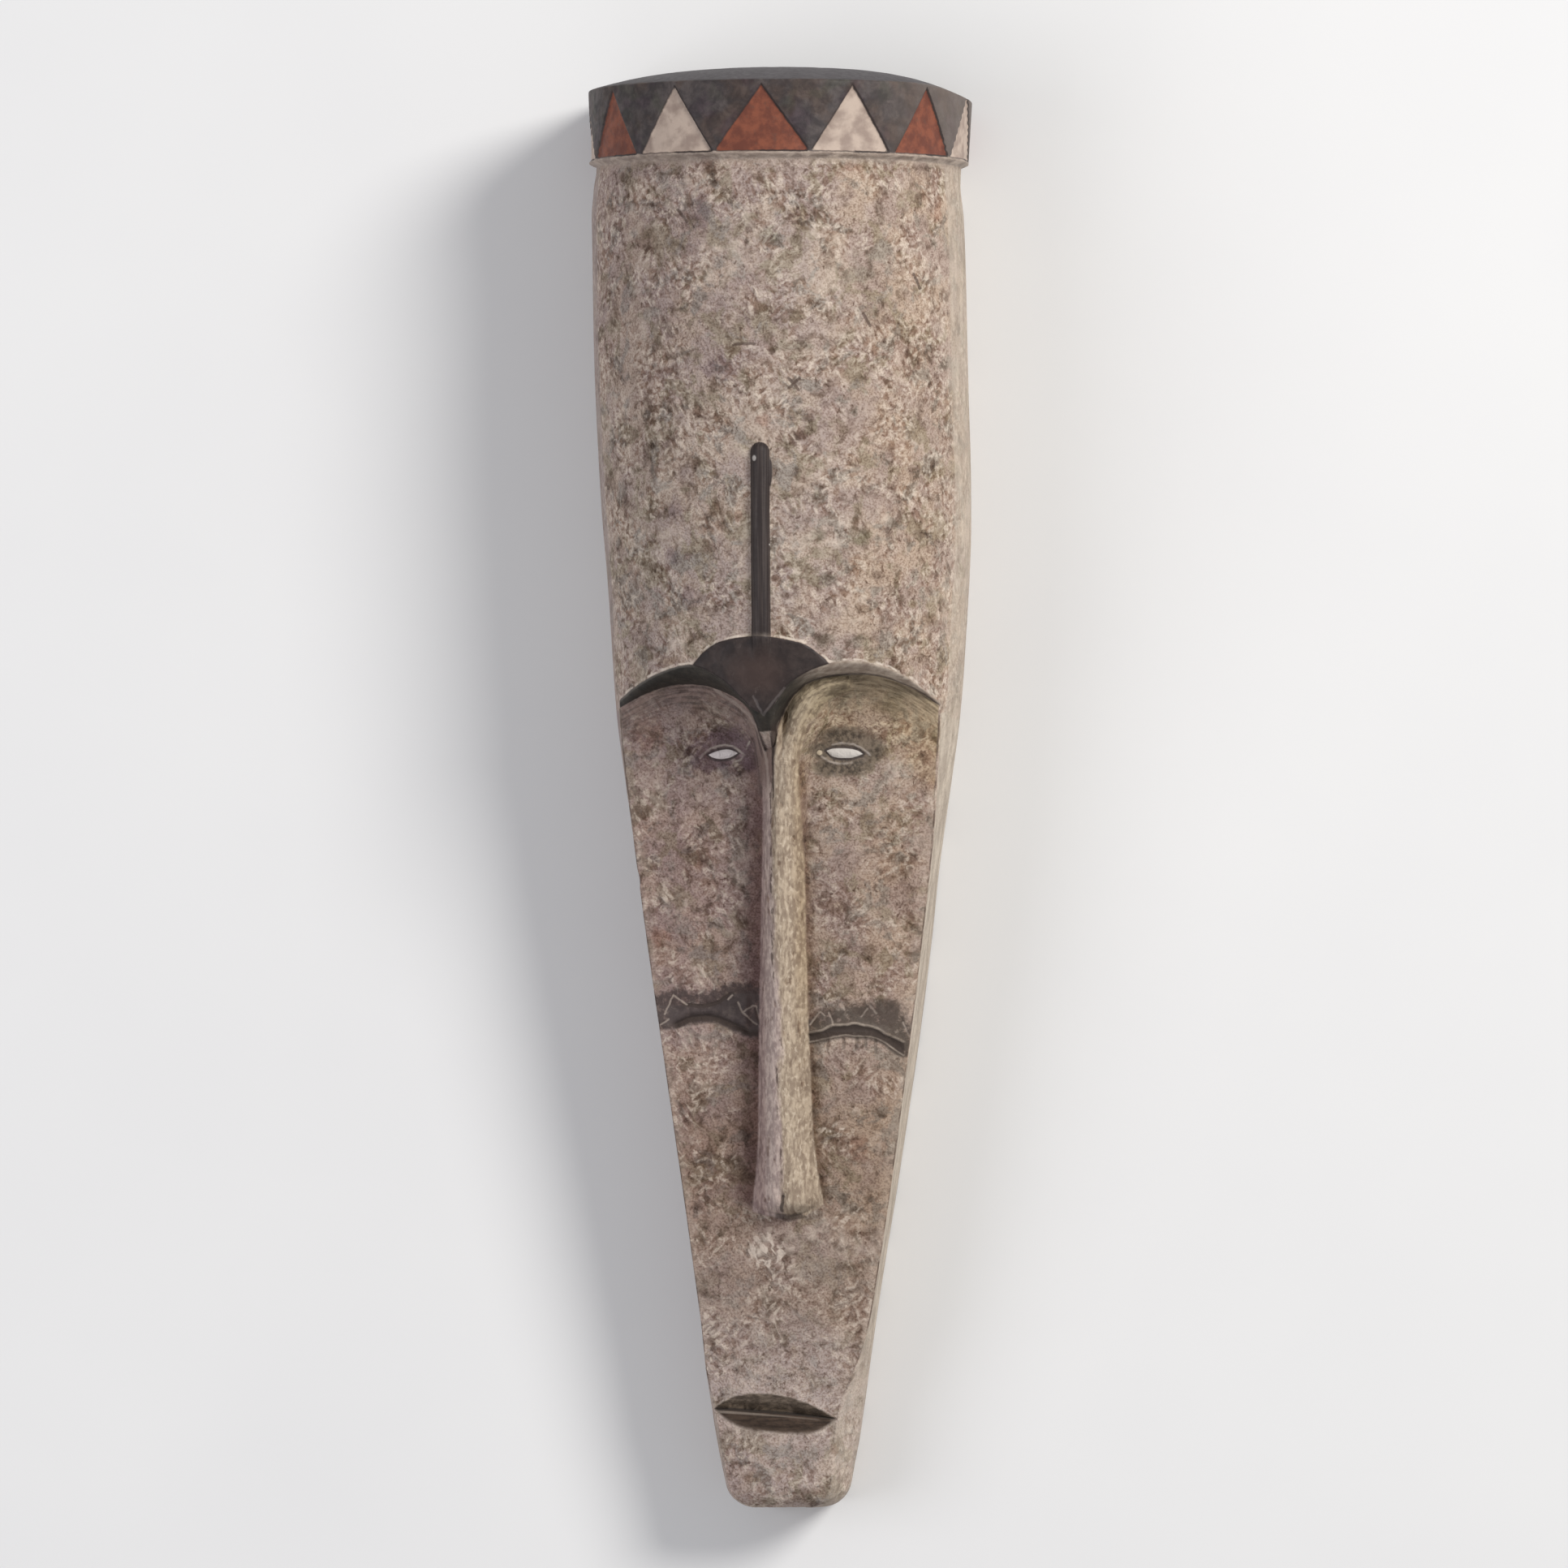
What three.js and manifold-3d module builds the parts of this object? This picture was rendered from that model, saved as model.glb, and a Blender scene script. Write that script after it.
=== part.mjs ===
// A long Fang ngil mask, lying on its back rim with the face up. Millimetres.
// +Y runs to the crown, +X to the viewer's right and +Z out of the face; the rim lies in z = 0.
// The mask is one carved piece: a log with a tall drum forehead, cut back below two brow arches
// to a long wedge of a face, and hollowed out from behind.

import * as THREE from 'three';
import { mergeVertices } from 'three/addons/utils/BufferGeometryUtils.js';
import Module from 'manifold-3d';

const wasm = await Module();
wasm.setup();

// Driving dimensions of the whole mask
const CROWN_EDGE = 873;
const DOME_RISE = 13;
const DOME_POWER = 1.4;
const CROWN_DIP = 6.5;
const NECK = 812;
const BAND_BOTTOM = 825;
const BAND_PROUD = 4.5;
const BAND_EDGE_ROUND = 1.5;
const CHIN_FOOT = -3.5;
const CHIN_ROUND = 14;
const RIM_WIDTH = 15;
const FRONT_WALL = 17;
const CAVITY_FOOT = 28;
const CAVITY_HEAD = 856;
const CAVITY_END_ROUND = 24;

// Angle from the front of the drum to the line where the flat of the face meets the side
const CREASE_ANGLE = THREE.MathUtils.degToRad(65);

// Profiles along the length, as [height, size]. Heights run up Y from just above the chin's foot.
const AXIS_X = profile([
  [0, 3.3], [60, 4], [120, 4.6], [200, 5.2], [560, 5.2], [620, 3.6], [700, 0.6], [770, -0.9], [812, -2],
  [825, -1], [873, 0],
]);
const HALF_WIDTH = profile([
  [-4, 36], [14, 39], [35, 42.6], [57, 45.7], [112, 52.8], [272, 75.6], [392, 91.6], [452, 100.8],
  [493, 106.2], [553, 110.6], [613, 114.2], [694, 115.4], [794, 115], [812, 113.4], [825, 112.6], [873, 114],
]);
const CREASE_HALF = profile([
  [-4, 28.5], [14, 32], [57, 38], [85, 46.5], [125, 54.2], [272, 75], [392, 90.4], [452, 96], [493, 98.6],
  [553, 100.6], [613, 103.4], [694, 104.5], [794, 104], [825, 102], [873, 103.2],
]);
const CREASE_DEPTH = profile([[0, 60.7], [57, 65], [490, 98.5], [600, 102.2], [700, 103.7], [825, 102.2]]);
const CREASE_SHIFT = profile([[0, -3], [57, -5], [120, 0], [400, 0], [480, -1.5], [600, 0]]);
const WIDEST_DEPTH = profile([[0, 34], [300, 44], [490, 54], [873, 54]]);
const LOG_FRONT = profile([
  [0, 78], [57, 88], [300, 130], [470, 158], [520, 162], [600, 168], [700, 171.5], [790, 170], [825, 168],
]);
const REAR_TUCK = profile([[0, 3], [100, 3], [200, 1.5], [350, 1.5], [452, 6], [600, 8], [873, 8]]);

// Brow: the lower edge of the ledge, where the face begins, and its upper edge on the forehead
const BROW_LOWER = profile([
  [-112, 480], [-96, 490.5], [-72, 501.5], [-50, 505.5], [-28, 501], [-10, 488], [-3, 468],
  [6, 468], [12, 487], [26, 503.5], [46, 511], [66, 510.5], [86, 503.5], [102, 493], [120, 478],
]);
const BROW_UPPER = profile([
  [-112, 483], [-97, 494.5], [-80, 506], [-62, 514], [-44, 517], [-25, 508], [0, 488],
  [17, 507], [40, 518], [62, 518.8], [84, 510.5], [102, 495.5], [120, 482],
]);
const FAN_TOP = profile([
  [-44.5, 517], [-37, 525], [-26, 531.5], [-1.5, 534.5], [24, 530], [33, 524.5], [40, 518],
]);
const FAN_HALF = [-44, 39.5];
const FAN_PROUD = 1.5;

// Face: rise of its middle over the side creases, the vault under the brow and the eye sockets
const FACE_CROWN = profile([[0, 3], [300, 4.5], [400, 6.5], [465, 10], [520, 12]]);
const VAULT_RISE = 20;
const VAULT_REACH = 15;
const EYES = [{ x: -31, y: 462.4, half: 13 }, { x: 43.5, y: 462.9, half: 14.5 }];
const SOCKET = { depth: 3, x: 26, y: 15 };
const EYE_HALF_HEIGHT = 5.5;
const EYE_PROUD = 1.2;

// Bar down the middle of the forehead
const BAR = { x: -1, foot: 522, top: 652, halfWidth: 5.6, proud: 5, ramp: 20 };

// Nose
const NOSE_X = profile([[176, 6], [230, 5], [300, 5.4], [430, 6.2], [490, 5]]);
const NOSE_HALF = profile([
  [176, 23.5], [190, 22.5], [200, 20.8], [225, 18.2], [280, 15.8], [430, 12], [460, 10.8], [482, 7],
]);
const NOSE_CREST = profile([
  [176, 97], [200, 101], [300, 112.5], [400, 123], [440, 129], [470, 139], [482, 144],
]);
const NOSE_END = 180;
const NOSE_TOP = 482;
const NOSE_ROOT_SINK = 5;
const CLEFT = { x: 4.6, foot: 174, top: 197, halfWidth: 1.6, depth: 5 };

// Mouth: a lens cut that deepens to the line between the lips, over a lower lip that stands proud
const MOUTH = { x: -1.8, y: 56.2, half: 38.2, tilt: -0.055, rise: 11.5, drop: 12.8, depth: 6, lipProud: 1.8 };

// Arched bands across the cheeks: their middle lines
const CHEEK_LINES = [
  profile([[-69, 299], [-56, 304.3], [-43, 305.3], [-30, 303.2], [-20, 298], [-9, 290.5]]),
  profile([[20, 288], [32, 291.3], [46, 293.4], [60, 292.4], [70, 288], [82, 280.5]]),
];
const CHEEK_SPANS = [[-69, -9], [20, 81]];
const CHEEK_HALF_HEIGHT = 4.2;
const CHEEK_PROUD = 1.5;

// Cut triangles round the crown band, by angle from the front
const TRIANGLE_PITCH = THREE.MathUtils.degToRad(27.5);
const TRIANGLE_HALF = THREE.MathUtils.degToRad(12.6);
const MIDDLE_TRIANGLE_HALF = THREE.MathUtils.degToRad(14.2);
const TRIANGLE_SIDES = 4;
const TRIANGLE_FOOT = 829.5;
const TRIANGLE_TOP = 869.5;
const TRIANGLE_DEPTH = 1.3;

// How finely the curved surfaces are divided
const SIDE_STEPS = 3;
const FRONT_STEPS = 12;
const ROW_PITCH = 26;
const CUTTER_PITCH = 8;

// Smooth curve through [position, value] knots, level beyond the first and last.
function profile(knots) {
  const last = knots.length - 1;
  const slopes = knots.map((knot, i) => {
    const before = knots[Math.max(i - 1, 0)];
    const after = knots[Math.min(i + 1, last)];
    return (after[1] - before[1]) / (after[0] - before[0]);
  });
  return (at) => {
    if (at <= knots[0][0]) return knots[0][1];
    if (at >= knots[last][0]) return knots[last][1];
    const i = knots.findIndex((knot) => knot[0] > at) - 1;
    const span = knots[i + 1][0] - knots[i][0];
    const t = (at - knots[i][0]) / span;
    const rise = t * t * (3 - 2 * t);
    const leave = t * (1 - t) * (1 - t) * span * slopes[i];
    const arrive = -t * t * (1 - t) * span * slopes[i + 1];
    return knots[i][1] + (knots[i + 1][1] - knots[i][1]) * rise + leave + arrive;
  };
}

// Evenly spaced values from a to b, about a pitch apart, both ends included.
function steps(a, b, pitch) {
  const count = Math.max(1, Math.round(Math.abs(b - a) / pitch));
  return Array.from({ length: count + 1 }, (_, i) => a + ((b - a) * i) / count);
}

// A closed solid through rows of matching closed loops, each end closed by a fan of triangles.
function loft(rows) {
  const size = rows[0].length;
  const points = rows.flat();
  const middle = (row) => row.reduce((sum, p) => sum.add(p), new THREE.Vector3()).divideScalar(size);
  points.push(middle(rows[0]), middle(rows[rows.length - 1]));
  const index = [];
  for (let row = 0; row < rows.length - 1; row += 1) {
    for (let i = 0; i < size; i += 1) {
      const a = row * size + i;
      const b = row * size + ((i + 1) % size);
      index.push(a, b, b + size, a, b + size, a + size);
    }
  }
  const top = (rows.length - 1) * size;
  for (let i = 0; i < size; i += 1) {
    const next = (i + 1) % size;
    index.push(points.length - 2, next, i);
    index.push(points.length - 1, top + i, top + next);
  }
  return solid(points, index);
}

// A manifold from points and triangles, turned so that its faces point out.
function solid(points, index) {
  const volume = signedVolume(points, index);
  if (volume < 0) index.reverse();
  const geometry = new THREE.BufferGeometry().setFromPoints(points);
  geometry.setIndex(index);
  geometry.deleteAttribute('normal');
  geometry.deleteAttribute('uv');
  const merged = mergeVertices(geometry, 1e-4);
  return new wasm.Manifold(new wasm.Mesh({
    numProp: 3,
    vertProperties: Float32Array.from(merged.attributes.position.array),
    triVerts: Uint32Array.from(merged.index.array),
  }));
}

function signedVolume(points, index) {
  let sum = 0;
  for (let i = 0; i < index.length; i += 3) {
    const [a, b, c] = [points[index[i]], points[index[i + 1]], points[index[i + 2]]];
    sum += a.dot(new THREE.Vector3().crossVectors(b, c));
  }
  return sum;
}

// How far the chin's rounding draws the surface in at a height.
function chinInset(y) {
  const short = CHIN_ROUND - Math.max(y - CHIN_FOOT, 0);
  return short > 0 ? CHIN_ROUND - Math.sqrt(CHIN_ROUND * CHIN_ROUND - short * short) : 0;
}

// Half-width of the log's side at a depth between the back rim and the crease.
function sideHalf(y, z) {
  const wide = HALF_WIDTH(y) - chinInset(y);
  const widest = WIDEST_DEPTH(y);
  if (z <= widest) return wide - REAR_TUCK(y) * ((widest - z) / widest) ** 2;
  const crease = CREASE_HALF(y) - chinInset(y);
  const cosCrease = Math.cos(CREASE_ANGLE);
  const climb = (z - widest) / (creaseDepth(y) - widest);
  const sinCrease = Math.sin(CREASE_ANGLE);
  const bulge = (Math.sqrt(1 - (cosCrease * climb) ** 2) - sinCrease) / (1 - sinCrease);
  return crease + (wide - crease) * bulge;
}

function creaseDepth(y) {
  return CREASE_DEPTH(y) - chinInset(y);
}

// One side of the log's section, from the back rim to just short of the front's middle, as
// [distance out, depth].
function halfSection(y) {
  const widest = WIDEST_DEPTH(y);
  const crease = creaseDepth(y);
  const half = [];
  for (let i = 0; i < 2; i += 1) half.push([sideHalf(y, (widest * i) / 2), (widest * i) / 2]);
  for (let i = 0; i < SIDE_STEPS; i += 1) {
    const z = widest + ((crease - widest) * i) / SIDE_STEPS;
    half.push([sideHalf(y, z), z]);
  }
  for (let i = 0; i < FRONT_STEPS; i += 1) half.push(frontPoint(y, CREASE_ANGLE * (1 - i / FRONT_STEPS)));
  return half;
}

// A point on the round front of the log, at an angle from its middle.
function frontPoint(y, angle) {
  const crease = creaseDepth(y);
  const cosCrease = Math.cos(CREASE_ANGLE);
  const out = ((CREASE_HALF(y) - chinInset(y)) * Math.sin(angle)) / Math.sin(CREASE_ANGLE);
  const front = LOG_FRONT(y) - chinInset(y);
  return [out, crease + ((front - crease) * (Math.cos(angle) - cosCrease)) / (1 - cosCrease)];
}

// Depth of the forehead's surface.
function foreheadDepth(x, y) {
  const share = ((x - AXIS_X(y)) * Math.sin(CREASE_ANGLE)) / CREASE_HALF(y);
  return frontPoint(y, Math.asin(THREE.MathUtils.clamp(share, -1, 1)))[1];
}

// Sideways place of the crease line's middle: the axis, drawn to the left at the mouth.
function frontShift(y, z) {
  const climb = THREE.MathUtils.smoothstep(z, WIDEST_DEPTH(y), creaseDepth(y));
  return CREASE_SHIFT(y) * climb;
}

// The log's whole section as a closed loop, standing out by a given amount.
function section(y, proud = 0, height = () => y) {
  const half = halfSection(y);
  const left = half.map(([out, z]) => [-out, z]);
  const right = half.map(([out, z]) => [out, z]).reverse();
  const outline = [...left, frontPoint(y, 0), ...right];
  return outline.map(([out, z]) => {
    const up = Math.max(z - WIDEST_DEPTH(y), 0);
    const reach = 1 + proud / Math.hypot(out, up);
    const x = AXIS_X(y) + frontShift(y, z) + out * reach;
    const depth = z + up * (reach - 1);
    return new THREE.Vector3(x, height(x, depth), depth);
  });
}

// The crown's rim runs level but is worn down at the back of its right side.
function crownEdge(x, z) {
  const angle = Math.atan2(x, z - WIDEST_DEPTH(CROWN_EDGE));
  return CROWN_EDGE - CROWN_DIP * THREE.MathUtils.smoothstep(angle, Math.PI / 4, Math.PI / 2);
}

// Rings of the domed top, drawn in towards the middle of the flat back.
function domeRings() {
  const edge = section(CROWN_EDGE, BAND_PROUD - BAND_EDGE_ROUND, crownEdge);
  const widest = WIDEST_DEPTH(CROWN_EDGE);
  const reach = HALF_WIDTH(CROWN_EDGE) + BAND_PROUD;
  return [1, 0.93, 0.8, 0.62, 0.4, 0.18].map((share) => edge.map((p) => {
    const x = p.x * share;
    const z = p.z * share;
    const out = Math.min(1, (x * x + (z - widest) ** 2) / (reach * reach));
    const rim = CROWN_EDGE - (CROWN_EDGE - p.y) * share ** 4;
    return new THREE.Vector3(x, rim + DOME_RISE * (1 - out ** DOME_POWER), z);
  }));
}

// The uncut log: chin, face block, drum, crown band and dome.
function makeLog() {
  const chin = [0, 0.04, 0.16, 0.38, 0.68].map((share) => section(CHIN_FOOT + CHIN_ROUND * share));
  const body = steps(CHIN_FOOT + CHIN_ROUND, NECK, ROW_PITCH).map((y) => section(y));
  const neck = section(BAND_BOTTOM);
  const upper = (x, z) => crownEdge(x, z) - BAND_EDGE_ROUND;
  const band = [section(BAND_BOTTOM, BAND_PROUD), section(CROWN_EDGE, BAND_PROUD, upper)];
  return loft([...chin, ...body, neck, ...band, ...domeRings()]);
}

// How far across the face a point lies, from 0 at the middle to 1 at the crease.
function across(x, y) {
  return Math.min(1, Math.abs(x - AXIS_X(y) - CREASE_SHIFT(y)) / CREASE_HALF(y));
}

// Depth of the face's surface, without the nose.
function faceDepth(x, y) {
  const side = across(x, y);
  const crown = FACE_CROWN(y) * (1 - side * side);
  const below = Math.max(0, BROW_LOWER(x) - y);
  const vault = VAULT_RISE * Math.exp(-below / VAULT_REACH) * (1 - side ** 4);
  const sockets = EYES.reduce((sum, eye) => {
    const dx = (x - eye.x) / SOCKET.x;
    const dy = (y - eye.y) / SOCKET.y;
    return sum + SOCKET.depth * Math.exp(-dx * dx - dy * dy);
  }, 0);
  return creaseDepth(y) + crown + vault - sockets;
}

// The wood taken away in front of the face, up to the slanting ledge under the brow.
function makeFaceCutter() {
  const far = 260;
  const below = -40;
  const fine = steps(-96, 102, CUTTER_PITCH);
  const rows = [-150, -112, -102, ...fine, 110, 120, 150].map((x) => {
    const lower = BROW_LOWER(x);
    const upper = BROW_UPPER(x);
    const chin = [0, 0.2, 0.5, 1].map((share) => CHIN_FOOT + CHIN_ROUND * share);
    const floor = [below, ...chin, ...steps(45, lower - 60, 45)];
    const vaulted = [50, 38, 27, 18, 10, 4, 0].map((drop) => lower - drop);
    const bottom = [...floor, ...vaulted].map((y) => new THREE.Vector3(x, y, faceDepth(x, y)));
    const ledgeTop = Math.max(foreheadDepth(x, upper), faceDepth(x, lower) + 2);
    const lean = (upper - lower) / 20;
    return [
      ...bottom,
      new THREE.Vector3(x, upper, ledgeTop),
      new THREE.Vector3(x, upper + lean, far),
      new THREE.Vector3(x, below, far),
    ];
  });
  const longest = Math.max(...rows.map((row) => row.length));
  return loft(rows.map((row) => evenUp(row, longest)));
}

// Rows of the cutter are brought to one length by splitting their longest floor stretch.
function evenUp(row, length) {
  const points = [...row];
  while (points.length < length) {
    let widest = 1;
    for (let i = 1; i < points.length - 10; i += 1) {
      if (points[i].y - points[i - 1].y > points[widest].y - points[widest - 1].y) widest = i;
    }
    const y = (points[widest].y + points[widest - 1].y) / 2;
    points.splice(widest, 0, new THREE.Vector3(points[0].x, y, faceDepth(points[0].x, y)));
  }
  return points;
}

// The hollow back: an arched trough that follows the outside at about a wall's thickness.
function makeCavity() {
  const heights = [
    ...[0, 0.1, 0.35, 0.7].map((share) => CAVITY_FOOT + CAVITY_END_ROUND * share),
    ...steps(CAVITY_FOOT + CAVITY_END_ROUND, CAVITY_HEAD - CAVITY_END_ROUND, 40),
    ...[0.7, 0.35, 0.1, 0].map((share) => CAVITY_HEAD - CAVITY_END_ROUND * share),
  ];
  return loft(heights.map(cavitySection));
}

function cavityRoof(y) {
  const face = creaseDepth(y) + FACE_CROWN(y) - FRONT_WALL;
  const drum = LOG_FRONT(y) - FRONT_WALL;
  return face + (drum - face) * THREE.MathUtils.smoothstep(y, 478, 590);
}

function cavitySection(y) {
  const end = Math.min(y - CAVITY_FOOT, CAVITY_HEAD - y);
  const short = Math.max(0, CAVITY_END_ROUND - end);
  const inset = CAVITY_END_ROUND - Math.sqrt(CAVITY_END_ROUND ** 2 - short * short);
  const half = HALF_WIDTH(y) - REAR_TUCK(y) - RIM_WIDTH - inset;
  const roof = cavityRoof(y) - inset;
  const power = THREE.MathUtils.lerp(3.4, 2.5, THREE.MathUtils.smoothstep(y, 478, 590));
  const arch = [];
  const count = 22;
  for (let i = 0; i <= count; i += 1) {
    const angle = Math.PI * (1 - i / count);
    const out = Math.sign(Math.cos(angle)) * Math.abs(Math.cos(angle)) ** (2 / power);
    arch.push(new THREE.Vector3(AXIS_X(y) + half * out, y, roof * Math.sin(angle) ** (2 / power)));
  }
  const open = 30;
  arch.unshift(new THREE.Vector3(AXIS_X(y) - half, y, -open));
  arch.push(new THREE.Vector3(AXIS_X(y) + half, y, -open));
  return arch;
}

// The nose: a rounded ridge that widens to a blunt end.
function makeNose() {
  const count = 12;
  const body = steps(NOSE_END + 12, NOSE_TOP, 20).map((y) => ({ y, drop: 0, round: 0 }));
  const end = [
    { y: NOSE_END - 2, drop: 26, round: 1 },
    { y: NOSE_END - 0.5, drop: 14, round: 1 },
    { y: NOSE_END + 2, drop: 5, round: 0.9 },
    { y: NOSE_END + 6, drop: 1.2, round: 0.6 },
  ];
  const rows = [...end, ...body].map(({ y, drop, round }) => {
    const base = creaseDepth(y) - NOSE_ROOT_SINK;
    const row = [];
    for (let i = 0; i <= count; i += 1) {
      const share = -Math.cos((Math.PI * i) / count);
      const climb = (1 - Math.abs(share) ** 2.4) ** 0.7;
      const height = Math.max(NOSE_CREST(y) - drop - base, 1) * climb;
      const bow = round * 8 * share * share;
      row.push(new THREE.Vector3(NOSE_X(y) + NOSE_HALF(y) * 1.06 * share, y + bow, base + height));
    }
    return row;
  });
  return loft(rows);
}

// The cleft in the nose's blunt end.
function makeCleft() {
  const { x, foot, top, halfWidth, depth } = CLEFT;
  const surface = NOSE_CREST(NOSE_END + 6);
  const wedge = (y, sink) => [
    new THREE.Vector3(x - halfWidth, y, surface + 8),
    new THREE.Vector3(x, y, surface - sink),
    new THREE.Vector3(x + halfWidth, y, surface + 8),
  ];
  return loft([wedge(foot, depth * 3), wedge(NOSE_END + 6, depth), wedge(top, 0)]);
}

// The raised bar on the forehead, half round, with a rounded top and a foot that sinks into the fan.
function makeBar() {
  const { x, foot, top, halfWidth, proud, ramp } = BAR;
  const level = steps(foot + ramp, top - halfWidth, 24);
  const rising = [0, 0.3, 0.65].map((share) => foot + ramp * share);
  const ending = [0.45, 0.12, 0].map((share) => top - halfWidth * share);
  const heights = [...rising, ...level, ...ending];
  const rows = heights.map((y) => {
    const up = Math.max(0, y - (top - halfWidth)) / halfWidth;
    const size = Math.sqrt(Math.max(0.02, 1 - up * up));
    const rise = proud * size * THREE.MathUtils.smoothstep(y, foot - ramp / 4, foot + ramp);
    const surface = foreheadDepth(x, y);
    const row = [];
    for (let i = 0; i <= 8; i += 1) {
      const angle = (Math.PI * i) / 8;
      row.push(new THREE.Vector3(
        x - halfWidth * size * Math.cos(angle),
        y,
        surface + rise * Math.sin(angle),
      ));
    }
    row.push(new THREE.Vector3(x + halfWidth * size, y, surface - 4));
    row.push(new THREE.Vector3(x - halfWidth * size, y, surface - 4));
    return row;
  });
  return loft(rows);
}

// A thin plate that follows a surface between two curves over x, standing out and sunk in.
function plate(from, to, pitch, lower, upper, surface, proud, sink) {
  const rows = steps(from, to, pitch).map((x) => {
    const [a, b] = [lower(x), upper(x)];
    const heights = [a, (2 * a + b) / 3, (a + 2 * b) / 3, b];
    const outer = heights.map((y) => new THREE.Vector3(x, y, surface(x, y) + proud));
    const inner = heights.map((y) => new THREE.Vector3(x, y, surface(x, y) - sink)).reverse();
    return [...outer, ...inner];
  });
  return loft(rows);
}

function makeFan() {
  const [from, to] = FAN_HALF;
  const lower = (x) => Math.min(BROW_UPPER(x) + 0.6, FAN_TOP(x) - 0.4);
  return plate(from, to, 5.6, lower, FAN_TOP, foreheadDepth, FAN_PROUD, 4);
}

function makeCheekBand(side) {
  const [from, to] = CHEEK_SPANS[side];
  const line = CHEEK_LINES[side];
  const half = (x) => CHEEK_HALF_HEIGHT * Math.min(1, 0.35 + Math.min(x - from, to - x) / 12);
  const lower = (x) => line(x) - half(x);
  const upper = (x) => line(x) + half(x);
  return plate(from, to, 6, lower, upper, faceDepth, CHEEK_PROUD, 4);
}

function makeEye(eye) {
  const open = (x) => EYE_HALF_HEIGHT * Math.max(0.04, 1 - Math.abs((x - eye.x) / eye.half) ** 2.2);
  const lower = (x) => eye.y - open(x);
  const upper = (x) => eye.y + open(x);
  return plate(eye.x - eye.half, eye.x + eye.half, 3.3, lower, upper, faceDepth, EYE_PROUD, 4);
}

// Half-heights of the mouth above and below its line, from its middle to its corners.
function mouthLine(x) {
  return MOUTH.y + (x - MOUTH.x) * MOUTH.tilt;
}

function mouthOpening(x) {
  return Math.max(0.03, 1 - Math.abs((x - MOUTH.x) / MOUTH.half) ** 2.1);
}

// The upper lip's slanting cut, deepest at the line between the lips.
function makeMouthCut() {
  const rows = steps(MOUTH.x - MOUTH.half, MOUTH.x + MOUTH.half, 5.5).map((x) => {
    const open = mouthOpening(x);
    const line = mouthLine(x);
    const top = line + MOUTH.rise * open;
    return [
      new THREE.Vector3(x, line, faceDepth(x, line) - MOUTH.depth * open),
      new THREE.Vector3(x, top, faceDepth(x, top)),
      new THREE.Vector3(x, top, faceDepth(x, top) + 20),
      new THREE.Vector3(x, line, faceDepth(x, line) + 20),
    ];
  });
  return loft(rows);
}

// The lower lip, proud at its upper edge and level with the chin at its lower one.
function makeLowerLip() {
  const rows = steps(MOUTH.x - MOUTH.half, MOUTH.x + MOUTH.half, 5.5).map((x) => {
    const open = mouthOpening(x);
    const line = mouthLine(x) - 0.2;
    const foot = line - MOUTH.drop * open;
    return [
      new THREE.Vector3(x, line, faceDepth(x, line) - 8),
      new THREE.Vector3(x, line, faceDepth(x, line) + MOUTH.lipProud * open),
      new THREE.Vector3(x, (line + foot) / 2, faceDepth(x, line) + MOUTH.lipProud * open),
      new THREE.Vector3(x, foot, faceDepth(x, foot) - 0.3),
      new THREE.Vector3(x, foot, faceDepth(x, foot) - 8),
    ];
  });
  return loft(rows);
}

// A shallow pocket in the crown band, in the shape of a triangle bent round the drum.
function makeTrianglePocket(number) {
  const middle = number * TRIANGLE_PITCH;
  const half = number === 0 ? MIDDLE_TRIANGLE_HALF : TRIANGLE_HALF;
  const columns = 6;
  const rows = [0, 0.3, 0.6, 0.85, 1].map((up) => {
    const y = TRIANGLE_FOOT + (TRIANGLE_TOP - TRIANGLE_FOOT) * up;
    const reach = half * Math.max(1 - up, 0.015);
    const angles = steps(-1, 1, 2 / columns).map((share) => middle + reach * share);
    const inner = angles.map((angle) => bandPoint(angle, y, -TRIANGLE_DEPTH));
    const outer = angles.map((angle) => bandPoint(angle, y, 6)).reverse();
    return [...inner, ...outer];
  });
  return loft(rows);
}

// A point on the crown band by angle; past the widest place it runs straight back to the rim.
function bandPoint(angle, y, out) {
  const widest = WIDEST_DEPTH(y);
  const share = (y - BAND_BOTTOM) / (CROWN_EDGE - BAND_BOTTOM);
  const middle = THREE.MathUtils.lerp(AXIS_X(BAND_BOTTOM), AXIS_X(CROWN_EDGE), share);
  const half = THREE.MathUtils.lerp(HALF_WIDTH(BAND_BOTTOM), HALF_WIDTH(CROWN_EDGE), share) + BAND_PROUD;
  const front = LOG_FRONT(CROWN_EDGE) - widest + BAND_PROUD;
  const turn = Math.min(Math.abs(angle), Math.PI / 2);
  const past = (Math.abs(angle) - turn) * half;
  const tuck = REAR_TUCK(y) * (past / widest) ** 2;
  const x = middle + Math.sign(angle) * ((half + out) * Math.sin(turn) - tuck);
  return new THREE.Vector3(x, y, widest + (front + out) * Math.cos(turn) - past);
}

function makeMask() {
  let mask = makeLog().subtract(makeFaceCutter());
  const added = [makeNose(), makeBar(), makeFan(), makeCheekBand(0), makeCheekBand(1), ...EYES.map(makeEye)];
  for (const piece of added) mask = mask.add(piece);
  mask = mask.subtract(makeMouthCut()).add(makeLowerLip()).subtract(makeCleft());
  for (let number = -TRIANGLE_SIDES; number <= TRIANGLE_SIDES; number += 1) {
    mask = mask.subtract(makeTrianglePocket(number));
  }
  return mask.subtract(makeCavity());
}

function toGeometry(manifold) {
  const mesh = manifold.getMesh();
  const geometry = new THREE.BufferGeometry();
  geometry.setAttribute('position', new THREE.BufferAttribute(Float32Array.from(mesh.vertProperties), 3));
  geometry.setIndex(Array.from(mesh.triVerts));
  return geometry;
}

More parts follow.
